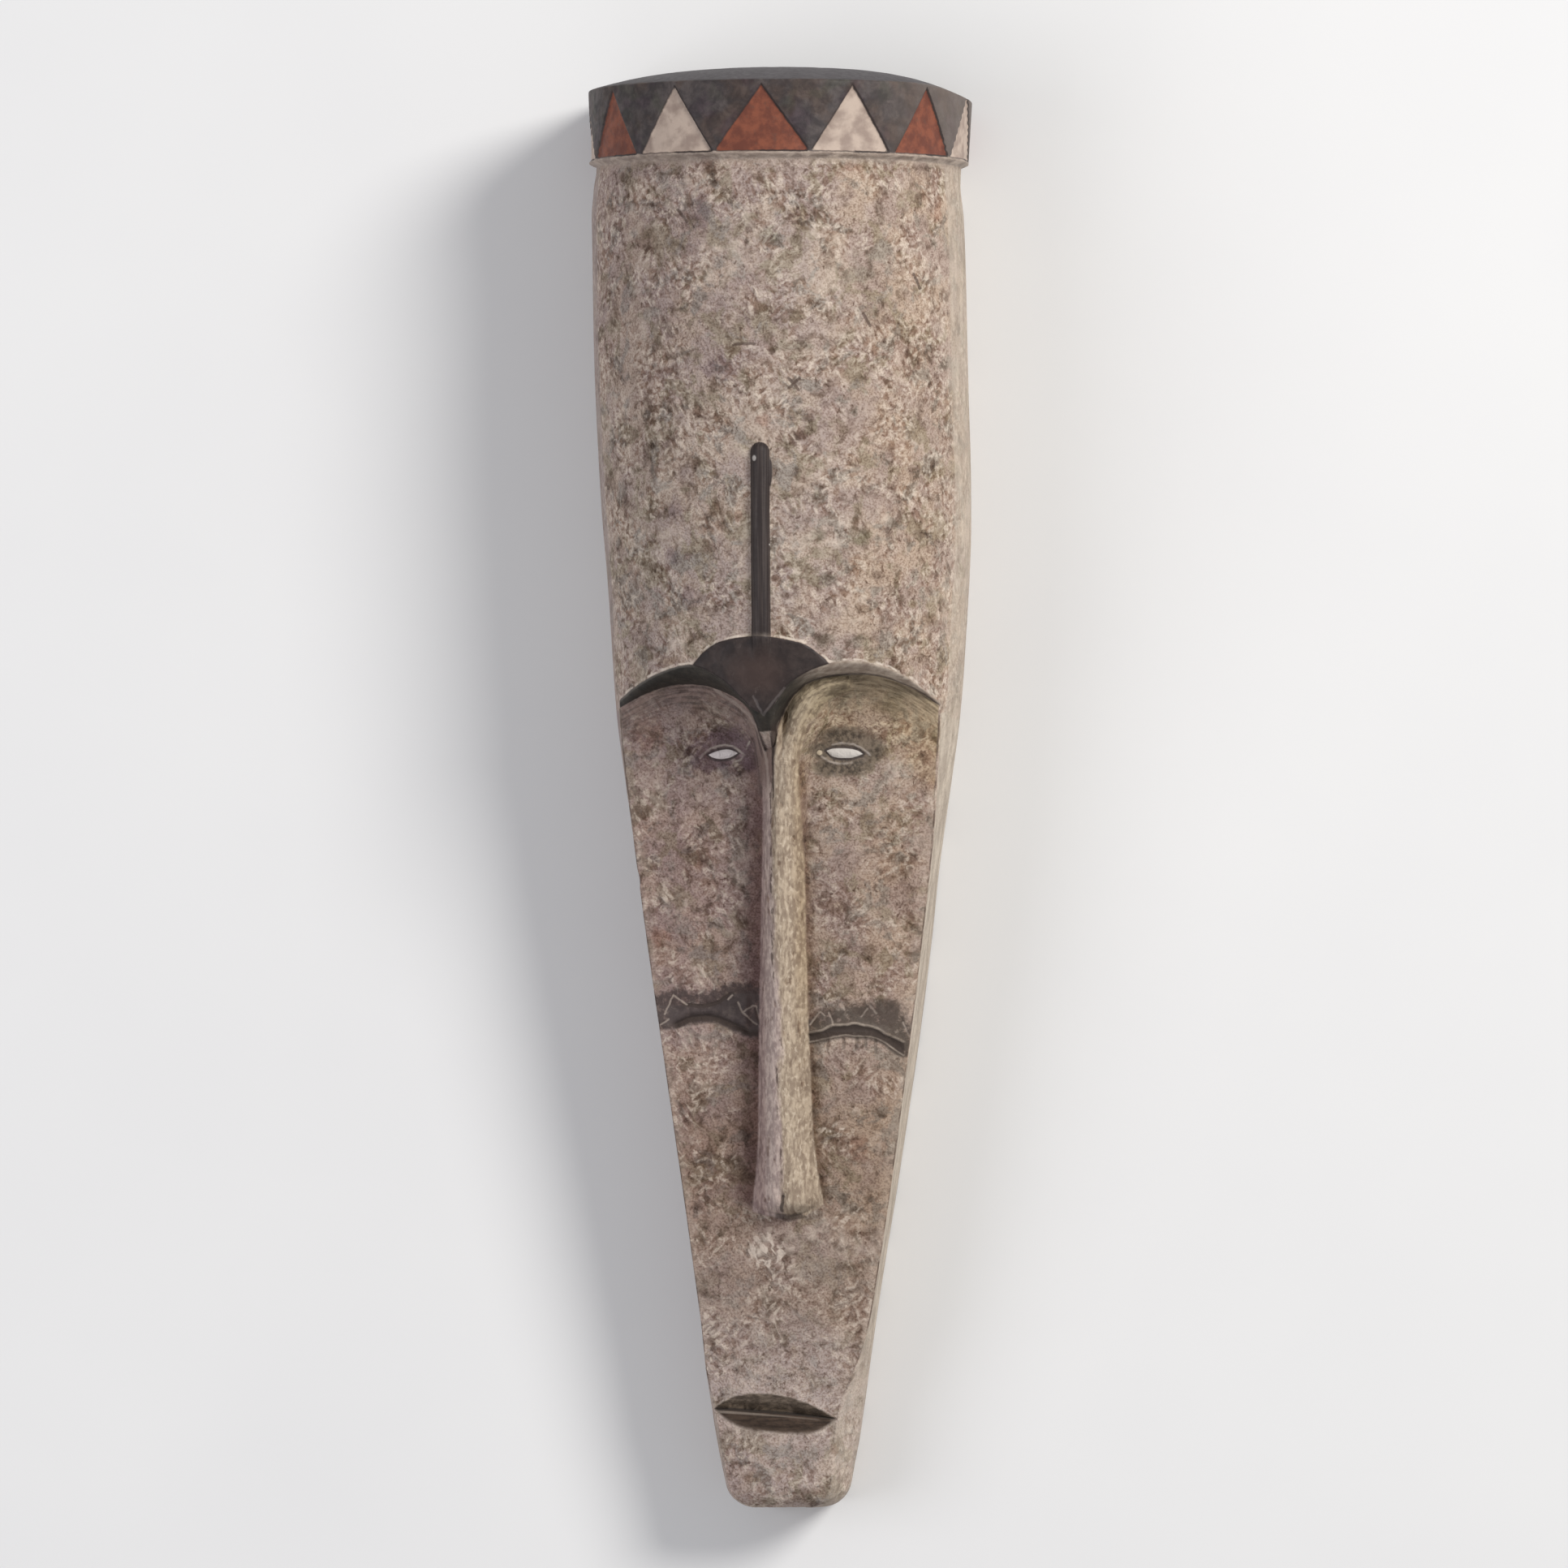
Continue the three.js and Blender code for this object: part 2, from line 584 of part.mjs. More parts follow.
const whitenedWood = new THREE.MeshStandardMaterial({ color: 0x968678, roughness: 0.85, metalness: 0 });

// The origin lies under the middle of the mask, in the plane of its back rim.
const mask = new THREE.Mesh(toGeometry(makeMask()), whitenedWood);
mask.name = 'mask';
mask.geometry.computeBoundingBox();
const middle = mask.geometry.boundingBox.getCenter(new THREE.Vector3());
mask.position.set(-middle.x, -middle.y, -mask.geometry.boundingBox.min.z);

const object = new THREE.Group();
object.add(mask);

export default object;
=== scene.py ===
"""A long Fang ngil mask on its back: one carved piece with its crust and paint, on a pale floor.

Lengths are millimetres in the carving's own frame, whose heights run up Y from just above the
chin's foot. The finished mesh is moved by DATUM and scaled into the row frame at the end.
"""

import math
from functools import reduce

import bpy
import numpy as np
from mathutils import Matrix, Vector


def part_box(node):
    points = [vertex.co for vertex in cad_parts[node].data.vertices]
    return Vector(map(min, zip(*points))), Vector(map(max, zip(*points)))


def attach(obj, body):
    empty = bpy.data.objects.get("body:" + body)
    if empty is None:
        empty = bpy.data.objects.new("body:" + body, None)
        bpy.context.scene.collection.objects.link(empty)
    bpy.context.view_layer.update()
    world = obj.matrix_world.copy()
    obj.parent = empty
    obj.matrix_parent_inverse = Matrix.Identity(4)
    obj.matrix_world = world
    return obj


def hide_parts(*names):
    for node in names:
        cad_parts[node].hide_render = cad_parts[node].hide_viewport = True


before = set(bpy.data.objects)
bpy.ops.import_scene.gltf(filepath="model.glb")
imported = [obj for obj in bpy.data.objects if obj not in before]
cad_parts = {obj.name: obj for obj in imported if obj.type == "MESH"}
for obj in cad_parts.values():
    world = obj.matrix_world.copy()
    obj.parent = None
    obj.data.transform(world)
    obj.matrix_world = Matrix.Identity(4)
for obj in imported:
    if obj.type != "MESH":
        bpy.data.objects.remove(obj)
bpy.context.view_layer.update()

MM = 0.001
DATUM = 441.23
TRIANGLE_LIMIT = 196000

# What a mark says where the thing it measures is out of reach
FAR = 20.0
NOSE_REACH = 40
LINE_REACH = 60

# The photograph's camera: its turn to the mask's right, its distance and aim, and its picture
CAMERA_TURN = math.radians(5.6)
CAMERA_DISTANCE = 6.5
CAMERA_AIM = (4.86, 444.5, 80)
SENSOR_WIDTH = 36
PHOTO_WIDTH = 1932
FOCAL_PIXELS = 13000
FLOOR_REACH = 6.0
FLOOR_DEPTH = 0.0004

# Each lamp's place, width, power and colour, and the colour and strength of the light all round
LIGHTS = {
    "key": ((3.4, 2.2, 3.2), 1.9, 225, (1.0, 0.98, 0.95)),
    "fill": ((-2.6, -0.3, 2.6), 2.4, 40, (0.97, 0.96, 1.0)),
}
SKY = ((0.95, 0.96, 1.0, 1), 0.4)

# Sizes of the carving
CHIN_FOOT = -3.5
CHIN_ROUND = 14
BAND_BOTTOM = 825
BAND_PROUD = 4.5
BAND_RADIUS = 118.5
BAND_WORN_FROM = 835
CROWN_AXIS = 54
CROWN_EDGE = 873
CROWN_DIP = 6.5
DOME_RISE = 12.9
DOME_POWER = 1.4
RIM_WIDTH = 15
FRONT_WALL = 17
CAVITY_FOOT = 28
CAVITY_HEAD = 856
CAVITY_END_ROUND = 24
CAVITY_TURNS_ROUND = (478, 590)
CAVITY_POWER = (3.4, 2.5)
CREASE_ANGLE = math.radians(65)
VAULT = {"rise": 20, "reach": 15}
SOCKET = {"sink": 3, "half_x": 26, "half_y": 15}
ROLL_BOX = {"left": -12, "right": 62, "foot": 385, "head": 530}
NOSE_FOOT = 180
NOSE_ROOT_SINK = 5
MOUTH = {
    "x": -1.8, "y": 56.2, "half": 38.2, "tilt": -0.079, "bend": -0.00062,
    "rise": 11.5, "drop": 12.8,
}
BAR = {"x": -1, "foot": 522, "top": 652, "half": 5.6, "proud": 5, "bump": 634}
FAN_PROUD = 1.5
FAN_ENDS = (-44.5, 40)
TRIANGLE_PITCH = math.radians(27.5)
TRIANGLE_HALF = math.radians(12.6)
MIDDLE_TRIANGLE_HALF = math.radians(14.2)
TRIANGLE_FOOT = 829.5
TRIANGLE_TOP = 869.5
TRIANGLE_DEPTH = 1.3
TIP_OF_BROW_PAINT = 476.5

# Marks on the front, each a run of points across and up it
CHEEK_STROKES = (
    ((22, 296.5), (28, 304.5), (31, 302)),
    ((33.5, 304), (36, 297)),
    ((41.5, 309), (43, 306)),
    ((53.5, 301.5), (57, 306.5)),
    ((59, 308.5), (62.5, 303.5)),
    ((79, 298), (81.5, 292), (84, 287.5)),
    ((-71.5, 296), (-66, 299.5)),
    ((-68.5, 303), (-63, 314.5), (-54.5, 308.5)),
    ((-47, 315.5), (-44, 317.5)),
    ((-45.5, 326.5), (-42.5, 327.5), (-37.5, 320.5), (-37.5, 318)),
    ((-28.5, 312), (-26, 314.5)),
    ((-22.5, 310), (-20, 304), (-13.5, 308), (-11.5, 307.5), (-8, 293)),
    ((-20, 304), (-11.5, 296.5)),
)
CHEEK_TEETH = (
    ((32.5, 287), (32.5, 281.5)),
    ((42.5, 288), (42.5, 282)),
    ((50.5, 288), (50.5, 281.5)),
    ((56, 288), (56, 282)),
    ((62, 287), (62, 280)),
)
EYE_ARCS = (
    ((-44.5, 460.4), (-42, 463.1), (-38.8, 465.7), (-35.5, 467.2), (-29, 468.5), (-24, 467.6)),
    ((-24, 467.6), (-20, 465), (-17.3, 462.4), (-19.2, 459.4), (-22.5, 458.2)),
    ((30.5, 461.4), (34.8, 458.4), (38, 457.2), (43.5, 456.9), (49, 457.6)),
    ((37, 468.5), (43, 469.4), (50, 468.9), (54.3, 466.9), (57.5, 464.4), (60, 462.4)),
    ((-15.5, 466.4), (-13.5, 470.4)),
)
SCRATCHES = (
    ((-17, 711.5), (-11, 712.3), (-4.5, 712)),
    ((60.5, 731), (64.5, 723.5)),
    ((89, 756), (92.5, 747.5)),
    ((16.5, 685), (23, 691)),
    ((16.5, 691), (22.5, 684)),
    ((-52.7, 794.5), (-46.7, 787)),
)
BROW_POINT = (((-6, 498), (0, 486.5), (13, 503)),)
HOLLOW_EDGE = (
    ((-33, 502.5), (-21.5, 494.5), (-12.5, 487), (-6.5, 476), (-2.5, 461.5), (-1.5, 443.5)),
)
ROOT_CREASE = (((6, 482), (4, 470), (2.6, 458), (2.3, 418)), ((-6, 479), (-2.2, 466)))
NOSE_CLEFT = (((6, 191), (4.5, 182)),)
NOSE_SHADOW = (((1, 178.5), (8, 177), (15, 178.5)),)

# Dents in the edge between the front and the sides: place, width and depth
DENTS = ((112.5, 694, 2.6, 1.6), (-85, 386, 3.6, 1.4), (86, 399, 3, 0.9))

# Oval stains of the crust: middle, half-width and half-height
STAINS = {
    "brown": (
        (-34, 822, 8, 4), (-73, 777, 10, 9), (22, 788, 8, 9), (19, 729, 7, 5), (-29, 612, 4, 6),
        (61, 551, 5, 4), (98, 545, 6, 5), (-18, 708, 4, 4), (-61, 545, 4, 3), (-59, 520, 11, 3),
        (10, 94, 4, 4), (36, 34, 5, 4), (-37, 216, 5, 5), (-27, 200, 5, 5), (84, 361, 6, 7),
        (37, 369, 7, 6), (-16, 16, 7, 4),
    ),
    "dark": (
        (89, 822, 2, 2), (96, 822, 2, 2), (-69, 797, 2, 2), (-4, 691, 2, 2), (35, 695, 2, 2),
        (-69, 637, 3, 7), (-67, 713, 4, 5), (-72, 678, 4, 8), (18, 667, 4, 2), (28, 667, 4, 3),
        (24, 656, 6, 4), (-37, 667, 8, 2), (-89, 616, 3, 11), (62, 625, 4, 2), (74, 598, 4, 3),
        (93, 598, 4, 3), (69, 572, 4, 3), (21, 632, 2, 4), (-49, 184, 4, 4), (-46, 131, 4, 4),
        (-24, 82, 4, 4), (15, 6, 6, 4), (20, 411, 2, 3), (21, 385, 2, 3), (23, 333, 2, 3),
        (-41, 446, 2, 2),
    ),
    "purple": (
        (-38, 791, 7, 14), (-24, 697, 13, 8), (-54, 613, 6, 8), (-46, 558, 6, 9), (-56, 583, 5, 6),
    ),
    "bruise": ((-37, 463, 19, 13), (-27, 473, 15, 10), (-15, 464, 13, 16)),
    "green": (
        (4, 778, 7, 6), (58, 755, 9, 7), (19, 711, 13, 4), (33, 617, 5, 5), (33, 596, 5, 5),
        (58, 595, 7, 7), (39, 569, 6, 5), (37, 532, 7, 5), (58, 531, 7, 5), (75, 410, 6, 5),
    ),
    "rust": (
        (54, 820, 7, 4), (103, 795, 5, 7), (1, 665, 5, 4), (-15, 608, 4, 4), (-71, 351, 8, 7),
        (-76, 475, 11, 12), (51, 220, 7, 9),
    ),
    "light": ((-6, 156, 14, 11), (34, 232, 8, 3)),
    "soot": (
        (45, 473, 16, 7), (58, 466, 12, 9), (44, 456, 20, 7), (35, 455, 10, 6), (31, 465, 7, 6),
    ),
}


def srgb(code):
    """A paint colour from its six hex digits."""
    channels = [c / 255 for c in bytes.fromhex(code)]
    linear = [c / 12.92 if c <= 0.04045 else ((c + 0.055) / 1.055) ** 2.4 for c in channels]
    return (*linear, 1.0)


# Paints of the crust; left, right, cloud, valley, face, low, grit and pit are multiplied in. Left
# is partly painted shade, light and valley paint highlight and shade on the strokes, and pit also
# paints shade in the dips
CRUST = {
    "base": ("a89891", "b6a597"), "olive": "968a78", "grey": "948c84", "rose": "b09d94",
    "left": "e4dade", "right": "fff8ee", "cloud": "b2a9a0", "light": "dccebe",
    "valley": "d0c2b9", "face": "f2eeec", "chin": "b6aaa6", "low": "ece8e2", "grit": "d8d2ce",
    "pit": "a08f85",
}
SCRATCH = "4e3e36"

# How strong each kind of stain is, and its paint; all but the light one are multiplied in
STAIN_PAINT = {
    "brown": (0.6, "baaa9a"), "dark": (0.6, "928278"), "purple": (0.7, "c8c0ca"),
    "green": (0.6, "c6cec4"), "rust": (0.5, "d4b2a4"), "bruise": (0.9, "aa9cae"),
    "light": (0.5, "ded0c2"),
}

# Paints of each part, a pair where one wanders between two
# Painted shade beside the nose, to its left and to its right
SHADE_PAINT = {"left": "b6a2a6", "right": "b29c86"}
# Painted shade under the arches: streaked dark and light tones, darker to the left, and a warm tint
ARCH_SHADE_PAINT = {"dark": ("564844", "685c48"), "light": ("847068", "a09077"), "warm": "faf5e5"}
# Paints of the nose: the mauve left and its flank are painted shade, as are the tones where it
# turns under the right arch, the shadow under its end and the cleft
NOSE_PAINT = {
    "cream": ("8f7e6d", "b7a691"), "cream_light": "cec0ad", "cream_dark": "7a6859",
    "cream_edge": "fcf4e2", "mauve": ("988680", "beaca2"), "mauve_light": "cabab0",
    "flank": "d6c8cc", "seam": "4e4038", "pits": "a8968a", "root": "705c54",
    "shade_under_arch": ("685c48", "9c8d72"), "shadow": "3e322c", "cleft": "423630",
}
SMOOTH_PAINT = {"fine": "e2dede", "rubbed": "786c66"}
BROW_PAINT = {
    "fan": ("28201f", "3a302d"), "fan_middle": "4c3a34", "ledge_left": ("25221d", "39332c"),
    # The right ledge's paint is partly painted light, and the lower line is a painted shadow
    "lit_ledge_right": ("968678", "c2b4a4"), "lower_shadow_line": "2c2421", "upper_line": "968e86",
    "worn": "d4c8ba", "point": "766e6c", "bar": ("2d2524", "423936"), "bar_flecks": "beb8b2",
    "ridge": "a8988e", "crease": "2e221e",
}
# Paints of the smooth sides: the darker left pair is painted shade and the paler right pair painted
# light on one plaster
SIDE_PAINT_LIT_AND_SHADED = {
    "left": ("847674", "a0928e"), "right": ("a4988a", "c6baaa"), "flecks": "8c7a6c",
    "crease": "4e3e34",
}
EYE_PAINT = {
    "soot": ("3c342c", "746758"), "left": "dcd3d0", "right": "ccc6bf", "lid": "3e3635",
    "arcs": "b0a59b", "knob": "cebea4",
}
CHEEK_PAINT = {
    "left": "463b39", "right": "483e37", "band": ("3a3130", "504644"), "groove": "3c322d",
    "ridge": "b0a294", "strokes": "aa9c90",
}
LIP_PAINT = {
    "upper": ("50453b", "7a6c5e"), "fold": "bab4ac", "lower": ("30251d", "4a3b30"),
    # light is a painted highlight on the lower lip's edge
    "foot": "68584c", "light": "8e8277", "slit": "28221e",
}
BAND_PAINT = {
    "charcoal": ("3a3434", "544c4a"), "purple": "e8d6ec", "green": "e2f0dc", "brown": "fae2ce",
    "pale": "7c7068", "rim": ("86776d", "ac9c8f"), "red": ("66382b", "824a36"),
    "soiled_red": "5c4238", "white": ("968479", "baa89a"), "soiled_white": "8c786e",
    # cut is a dark incised line, partly painted shade
    "cut": "2e2624", "dome": ("3c383a", "4c4749"),
}
BAND_CLOUDS = (
    ("purple", 15, 6.8, 0.5, 0.66), ("green", 18, 2.8, 0.54, 0.68), ("brown", 20, 8.8, 0.48, 0.64),
)
WOOD_PAINT = {"wood": ("422f22", "6c533c"), "dust": "84725e"}
FLOOR_PAINT = ("e2e2e2", "e8e8e7")


def profile(*knots):
    """A smooth curve through (position, value) knots, level beyond the first and last."""
    at, value = np.array(knots, float).T
    slope = np.empty(len(at))
    slope[1:-1] = (value[2:] - value[:-2]) / (at[2:] - at[:-2])
    slope[0] = (value[1] - value[0]) / (at[1] - at[0])
    slope[-1] = (value[-1] - value[-2]) / (at[-1] - at[-2])

    def curve(position):
        place = np.clip(position, at[0], at[-1])
        i = np.clip(np.searchsorted(at, place, side="right") - 1, 0, len(at) - 2)
        span = at[i + 1] - at[i]
        t = (place - at[i]) / span
        rise = value[i] + (value[i + 1] - value[i]) * t * t * (3 - 2 * t)
        leave = t * (1 - t) ** 2 * span * slope[i]
        arrive = -t * t * (1 - t) * span * slope[i + 1]
        return rise + leave + arrive

    return curve


axis_x = profile(
    (0, 3.8), (60, 4), (120, 4.6), (200, 5.2), (560, 5.2), (620, 3.6), (700, 0.6), (770, -0.9),
    (812, -2), (825, -1), (873, 0),
)
half_width = profile(
    (-4, 35.4), (14, 38.4), (35, 42.4), (57, 45.7), (112, 52.8), (272, 75.6), (392, 91.6),
    (452, 100.8), (493, 106.2), (553, 110.6), (613, 114.2), (694, 115.4), (794, 115), (812, 113.4),
    (825, 112.6), (873, 114),
)
crease_half = profile(
    (-4, 28.5), (14, 32), (57, 38), (85, 46.5), (125, 54.2), (272, 75), (392, 90.4), (452, 96),
    (493, 98.6), (553, 100.6), (613, 103.4), (694, 104.5), (794, 104), (825, 102), (873, 103.2),
)
crease_depth_line = profile(
    (0, 60.7), (57, 65), (490, 98.5), (600, 102.2), (700, 103.7), (825, 102.2),
)
crease_shift = profile((0, -3), (57, -5), (120, 0), (400, 0), (480, -1.5), (600, 0))
widest_depth = profile((0, 34), (300, 44), (490, 54), (873, 54))
log_front_line = profile(
    (0, 78), (57, 88), (300, 130), (470, 158), (520, 162), (600, 168), (700, 171.5), (790, 170),
    (825, 168),
)
rear_tuck = profile((0, 3), (100, 3), (200, 1.5), (350, 1.5), (452, 6), (600, 8), (873, 8))
brow_lower = profile(
    (-112, 480), (-96, 490.5), (-72, 501.5), (-50, 505.5), (-28, 501), (-10, 488), (-3, 468),
    (4, 468), (6.6, 478.5), (10.8, 489), (16, 497.5), (22, 503.5), (30, 508), (46, 511),
    (66, 510.5), (86, 503.5), (102, 493), (120, 478),
)
brow_upper = profile(
    (-112, 483), (-97, 494.5), (-80, 506), (-62, 514), (-44, 517), (-25, 508), (0, 488), (17, 507),
    (40, 518), (62, 518.8), (84, 510.5), (102, 495.5), (120, 482),
)
fan_top = profile(
    (-44.5, 517), (-37, 525), (-26, 531.5), (-1.5, 534.5), (24, 530), (33, 524.5), (40, 518),
)
face_crown = profile((0, 3), (300, 4.5), (400, 6.5), (465, 10), (520, 12))
nose_x = profile((176, 7.4), (200, 6.9), (230, 6.2), (300, 5.6), (430, 6.2), (490, 5))
nose_half = profile(
    (176, 22), (190, 21), (200, 19.4), (225, 17), (280, 15.3), (430, 12), (460, 10.8), (482, 7),
)
nose_crest = profile(
    (176, 97), (200, 101), (300, 112.5), (400, 123), (440, 129), (470, 139), (482, 144),
)
# The left cheek band: a groove over it, one under it, and the limits of its dark paint
left_over = profile((-60, 308), (-54, 308.5), (-45, 308), (-35.5, 310), (-31, 313), (-27.5, 315.5))
left_under = profile(
    (-62.5, 296), (-53.5, 300), (-43.5, 301.5), (-37.5, 301), (-28.5, 298), (-22, 295), (-15, 292),
)
left_foot = profile((-66, 293), (-56, 295), (-45, 297), (-34, 296), (-24, 291), (-8, 286))
left_head = profile((-78, 314), (-62, 319), (-50, 316), (-36, 319), (-24, 321.5), (-8, 321))
# The right cheek band: the ridge over it, the one under it, and the upper limit of its soot
right_over = profile(
    (20, 291.5), (28.5, 293), (35, 296), (43.5, 296.5), (49.5, 297.5), (53.5, 296.5), (61.5, 295),
    (67.5, 291.5), (74, 288.5), (79, 286),
)
right_under = profile(
    (20, 285.5), (30.5, 287.5), (37, 289), (44, 290), (48.5, 289.5), (53.5, 289.5), (61, 288.5),
    (67.5, 285.5), (71.5, 282.5), (75, 280), (79, 277.5),
)
right_head = profile((18, 300), (30, 306), (45, 309), (62, 311), (72, 311), (80, 303), (86, 290))
left_eye_top = profile(
    (-39.5, 462.4), (-36, 464), (-31, 465.4), (-27.5, 465.7), (-24, 464.9), (-21.2, 463.4),
)
left_eye_low = profile(
    (-39.5, 462.4), (-37, 460.8), (-33, 459.9), (-29, 460.1), (-25, 461.2), (-21.2, 463.4),
)
right_eye_top = profile(
    (33.5, 464.9), (37, 466.1), (43, 466.4), (49, 465.9), (53, 464.7), (55.7, 462.9),
)
right_eye_low = profile(
    (33.5, 464.9), (36, 462), (40, 460.7), (44.5, 460.4), (50, 460.9), (55.7, 462.9),
)
EYES = (
    {"x": -30.4, "y": 462.9, "ends": (-39.5, -21.2), "top": left_eye_top, "low": left_eye_low},
    {"x": 44.6, "y": 463.6, "ends": (33.5, 55.7), "top": right_eye_top, "low": right_eye_low},
)
KNOB = (29.3, 463.7)

# The roll beside the nose, which turns under the right arch: its middle line, width and crest
roll_x = profile((0, 10), (1, 10.2), (2, 10.9), (3, 15), (4, 21.9), (5, 32), (6, 46))
roll_y = profile((0, 400), (1, 435), (2, 461), (3, 478), (4, 493), (5, 503), (6, 507))
roll_half = profile((0, 7), (1, 7.3), (2, 7.7), (3, 9), (4, 10), (5, 8.5), (6, 6))
roll_crest = profile((0, 118), (1, 128), (2, 136), (3, 140), (4, 141), (5, 138), (6, 133))

# Where the columns crowd together: along the nose, then along the bar
ridge_x = profile((170, 6), (430, 6.2), (490, 4), (525, -1), (652, -1), (700, 0))
ridge_half = profile(
    (150, 24), (190, 24.5), (225, 20), (280, 17.5), (430, 13.5), (482, 9.5), (525, 7.2), (660, 7.2),
    (720, 14),
)


def smoothstep(value, low, high):
    t = np.clip((value - low) / (high - low), 0, 1)
    return t * t * (3 - 2 * t)


def lerp(a, b, t):
    return a + (b - a) * t


def chin_inset(y):
    short = np.clip(CHIN_ROUND - np.maximum(y - CHIN_FOOT, 0), 0, CHIN_ROUND)
    return CHIN_ROUND - np.sqrt(CHIN_ROUND**2 - short * short)


def crease_out(y):
    return crease_half(y) - chin_inset(y)


def crease_depth(y):
    return crease_depth_line(y) - chin_inset(y)


def front_depth(y, angle):
    """Depth of the uncut drum at an angle from its front."""
    low = math.cos(CREASE_ANGLE)
    crease = crease_depth(y)
    front = log_front_line(y) - chin_inset(y)
    return crease + (front - crease) * (np.cos(angle) - low) / (1 - low)


def side_half(y, z):
    """Half-width of the side between the back rim and the crease."""
    wide = half_width(y) - chin_inset(y)
    widest = widest_depth(y)
    behind = wide - rear_tuck(y) * ((widest - z) / widest) ** 2
    climb = np.clip((z - widest) / (crease_depth(y) - widest), 0, 1)
    low = math.sin(CREASE_ANGLE)
    bulge = (np.sqrt(1 - (math.cos(CREASE_ANGLE) * climb) ** 2) - low) / (1 - low)
    ahead = crease_out(y) + (wide - crease_out(y)) * bulge
    return np.where(z <= widest, behind, ahead)


def mouth_line(x):
    across = x - MOUTH["x"]
    return MOUTH["y"] + across * MOUTH["tilt"] + across * across * MOUTH["bend"]


def mouth_open(x):
    """How far the lips stand from the line between them: the upper lip, then the lower."""
    share = (x - MOUTH["x"]) / MOUTH["half"]
    upper = 1 - np.abs(share) ** np.where(share < 0, 3.3, 1.8)
    return upper, 1 - np.abs(share) ** 3.5


def path_distance(x, y, paths):
    """Distance to the nearest of some runs of points."""
    nearest = np.full(np.shape(x), 1e3)
    for path in paths:
        for start, end in zip(path, path[1:]):
            run = np.subtract(end, start)
            share = ((x - start[0]) * run[0] + (y - start[1]) * run[1]) / run.dot(run)
            share = np.clip(share, 0, 1)
            away = np.hypot(x - start[0] - share * run[0], y - start[1] - share * run[1])
            nearest = np.minimum(nearest, away)
    return nearest


def groove(away, half):
    return np.exp(-((away / half) ** 2))


def along_roll(x, y):
    """Across and along the roll's middle line, and the place on it."""
    place = np.linspace(0, 6, 90)
    line = np.stack([roll_x(place), roll_y(place)], axis=-1)
    run = np.gradient(line, axis=0)
    tangent = run / np.linalg.norm(run, axis=1)[:, None]
    steps = np.linalg.norm(np.diff(line, axis=0), axis=1)
    length = np.concatenate([[0], np.cumsum(steps)])
    offset = np.stack([x, y], axis=-1)[:, None, :] - line
    near = np.argmin((offset**2).sum(-1), axis=1)
    offset = offset[np.arange(len(near)), near]
    across = offset[:, 0] * tangent[near, 1] - offset[:, 1] * tangent[near, 0]
    along = length[near] + (offset * tangent[near]).sum(-1)
    return across, np.where(y < 400, y - 400, along), place[near], length[-1]


def near_roll(x, y):
    beside = (x > ROLL_BOX["left"]) & (x < ROLL_BOX["right"])
    return beside & (y > ROLL_BOX["foot"]) & (y < ROLL_BOX["head"])


def roll_depth(x, y):
    depth = np.full(x.shape, -1e3)
    near = near_roll(x, y)
    across, along, place, length = along_roll(x[near], y[near])
    past = np.maximum(along - length, 0) + np.maximum(-along, 0)
    share = np.hypot(across, past) / roll_half(place)
    depth[near] = np.where(share < 2, roll_crest(place) - 9 * share**2, -1e3)
    return depth


def face_depth(x, y):
    """Depth of the face without the nose, with its vault under the brow and its eye sockets."""
    side = np.clip(np.abs(x - axis_x(y) - crease_shift(y)) / crease_half(y), 0, 1)
    crown = face_crown(y) * (1 - side * side)
    below = np.maximum(0, brow_lower(x) - y)
    vault = VAULT["rise"] * np.exp(-below / VAULT["reach"]) * (1 - side**4)
    return crease_depth(y) + crown + vault - sum(eye_socket(eye, x, y) for eye in EYES)


def eye_socket(eye, x, y):
    away = np.hypot((x - eye["x"]) / SOCKET["half_x"], (y - eye["y"]) / SOCKET["half_y"])
    return SOCKET["sink"] * groove(away, 1)


def nose_end(x, y, half):
    """Height of the nose's bowed end, which climbs more to its right."""
    share = np.clip(np.abs(x - nose_x(y)) / half, 0, 1)
    return NOSE_FOOT - 2 + np.where(x < nose_x(y), 4, 8.5) * share**2


def nose_depth(x, y):
    """Depth of the nose, which widens to a blunt, bowed end."""
    half = nose_half(y) * 1.04
    share = np.clip(np.abs(x - nose_x(y)) / half, 0, 1)
    base = crease_depth(y) - NOSE_ROOT_SINK
    above_end = y - nose_end(x, y, half)
    end = np.clip(above_end / 11, 0, 1)
    fall = (nose_crest(y) - base + 6) * (1 - np.sqrt(1 - (1 - end) ** 2.6))
    height = nose_crest(y) - base - fall
    height = height - 9 * smoothstep(y, 392, 440) * smoothstep(x, 3.4, 1.6)
    return base + np.where(share < 1, height * (1 - share**2.4) ** 0.7, 0) - 30 * (above_end < 0)


def bar_rise(x, y):
    """How far the forehead's bar stands out."""
    share = np.clip(np.abs(x - BAR["x"]) / BAR["half"], 0, 1)
    over = np.clip((y - (BAR["top"] - BAR["half"])) / BAR["half"], 0, 1)
    ramp = smoothstep(y, BAR["foot"] - 5, BAR["foot"] + 20)
    bump = np.hypot((x - BAR["x"] - BAR["half"]) / 1.8, (y - BAR["bump"]) / 9)
    bar = BAR["proud"] * ramp * np.sqrt(np.clip(1 - share**2 - over**2, 0, 1))
    return np.maximum(bar, 2.6 * np.sqrt(np.clip(1 - bump**2, 0, 1)))


def across_slope(value, line, x):
    """A height over a line as a distance square to it."""
    return value / np.hypot(1, line(x + 0.5) - line(x - 0.5))


def top_edge(x):
    """Height of the dark paint's top, over the fan and over the brow on either side of it."""
    return np.where((x > FAN_ENDS[0]) & (x < FAN_ENDS[1]), fan_top(x), brow_upper(x))


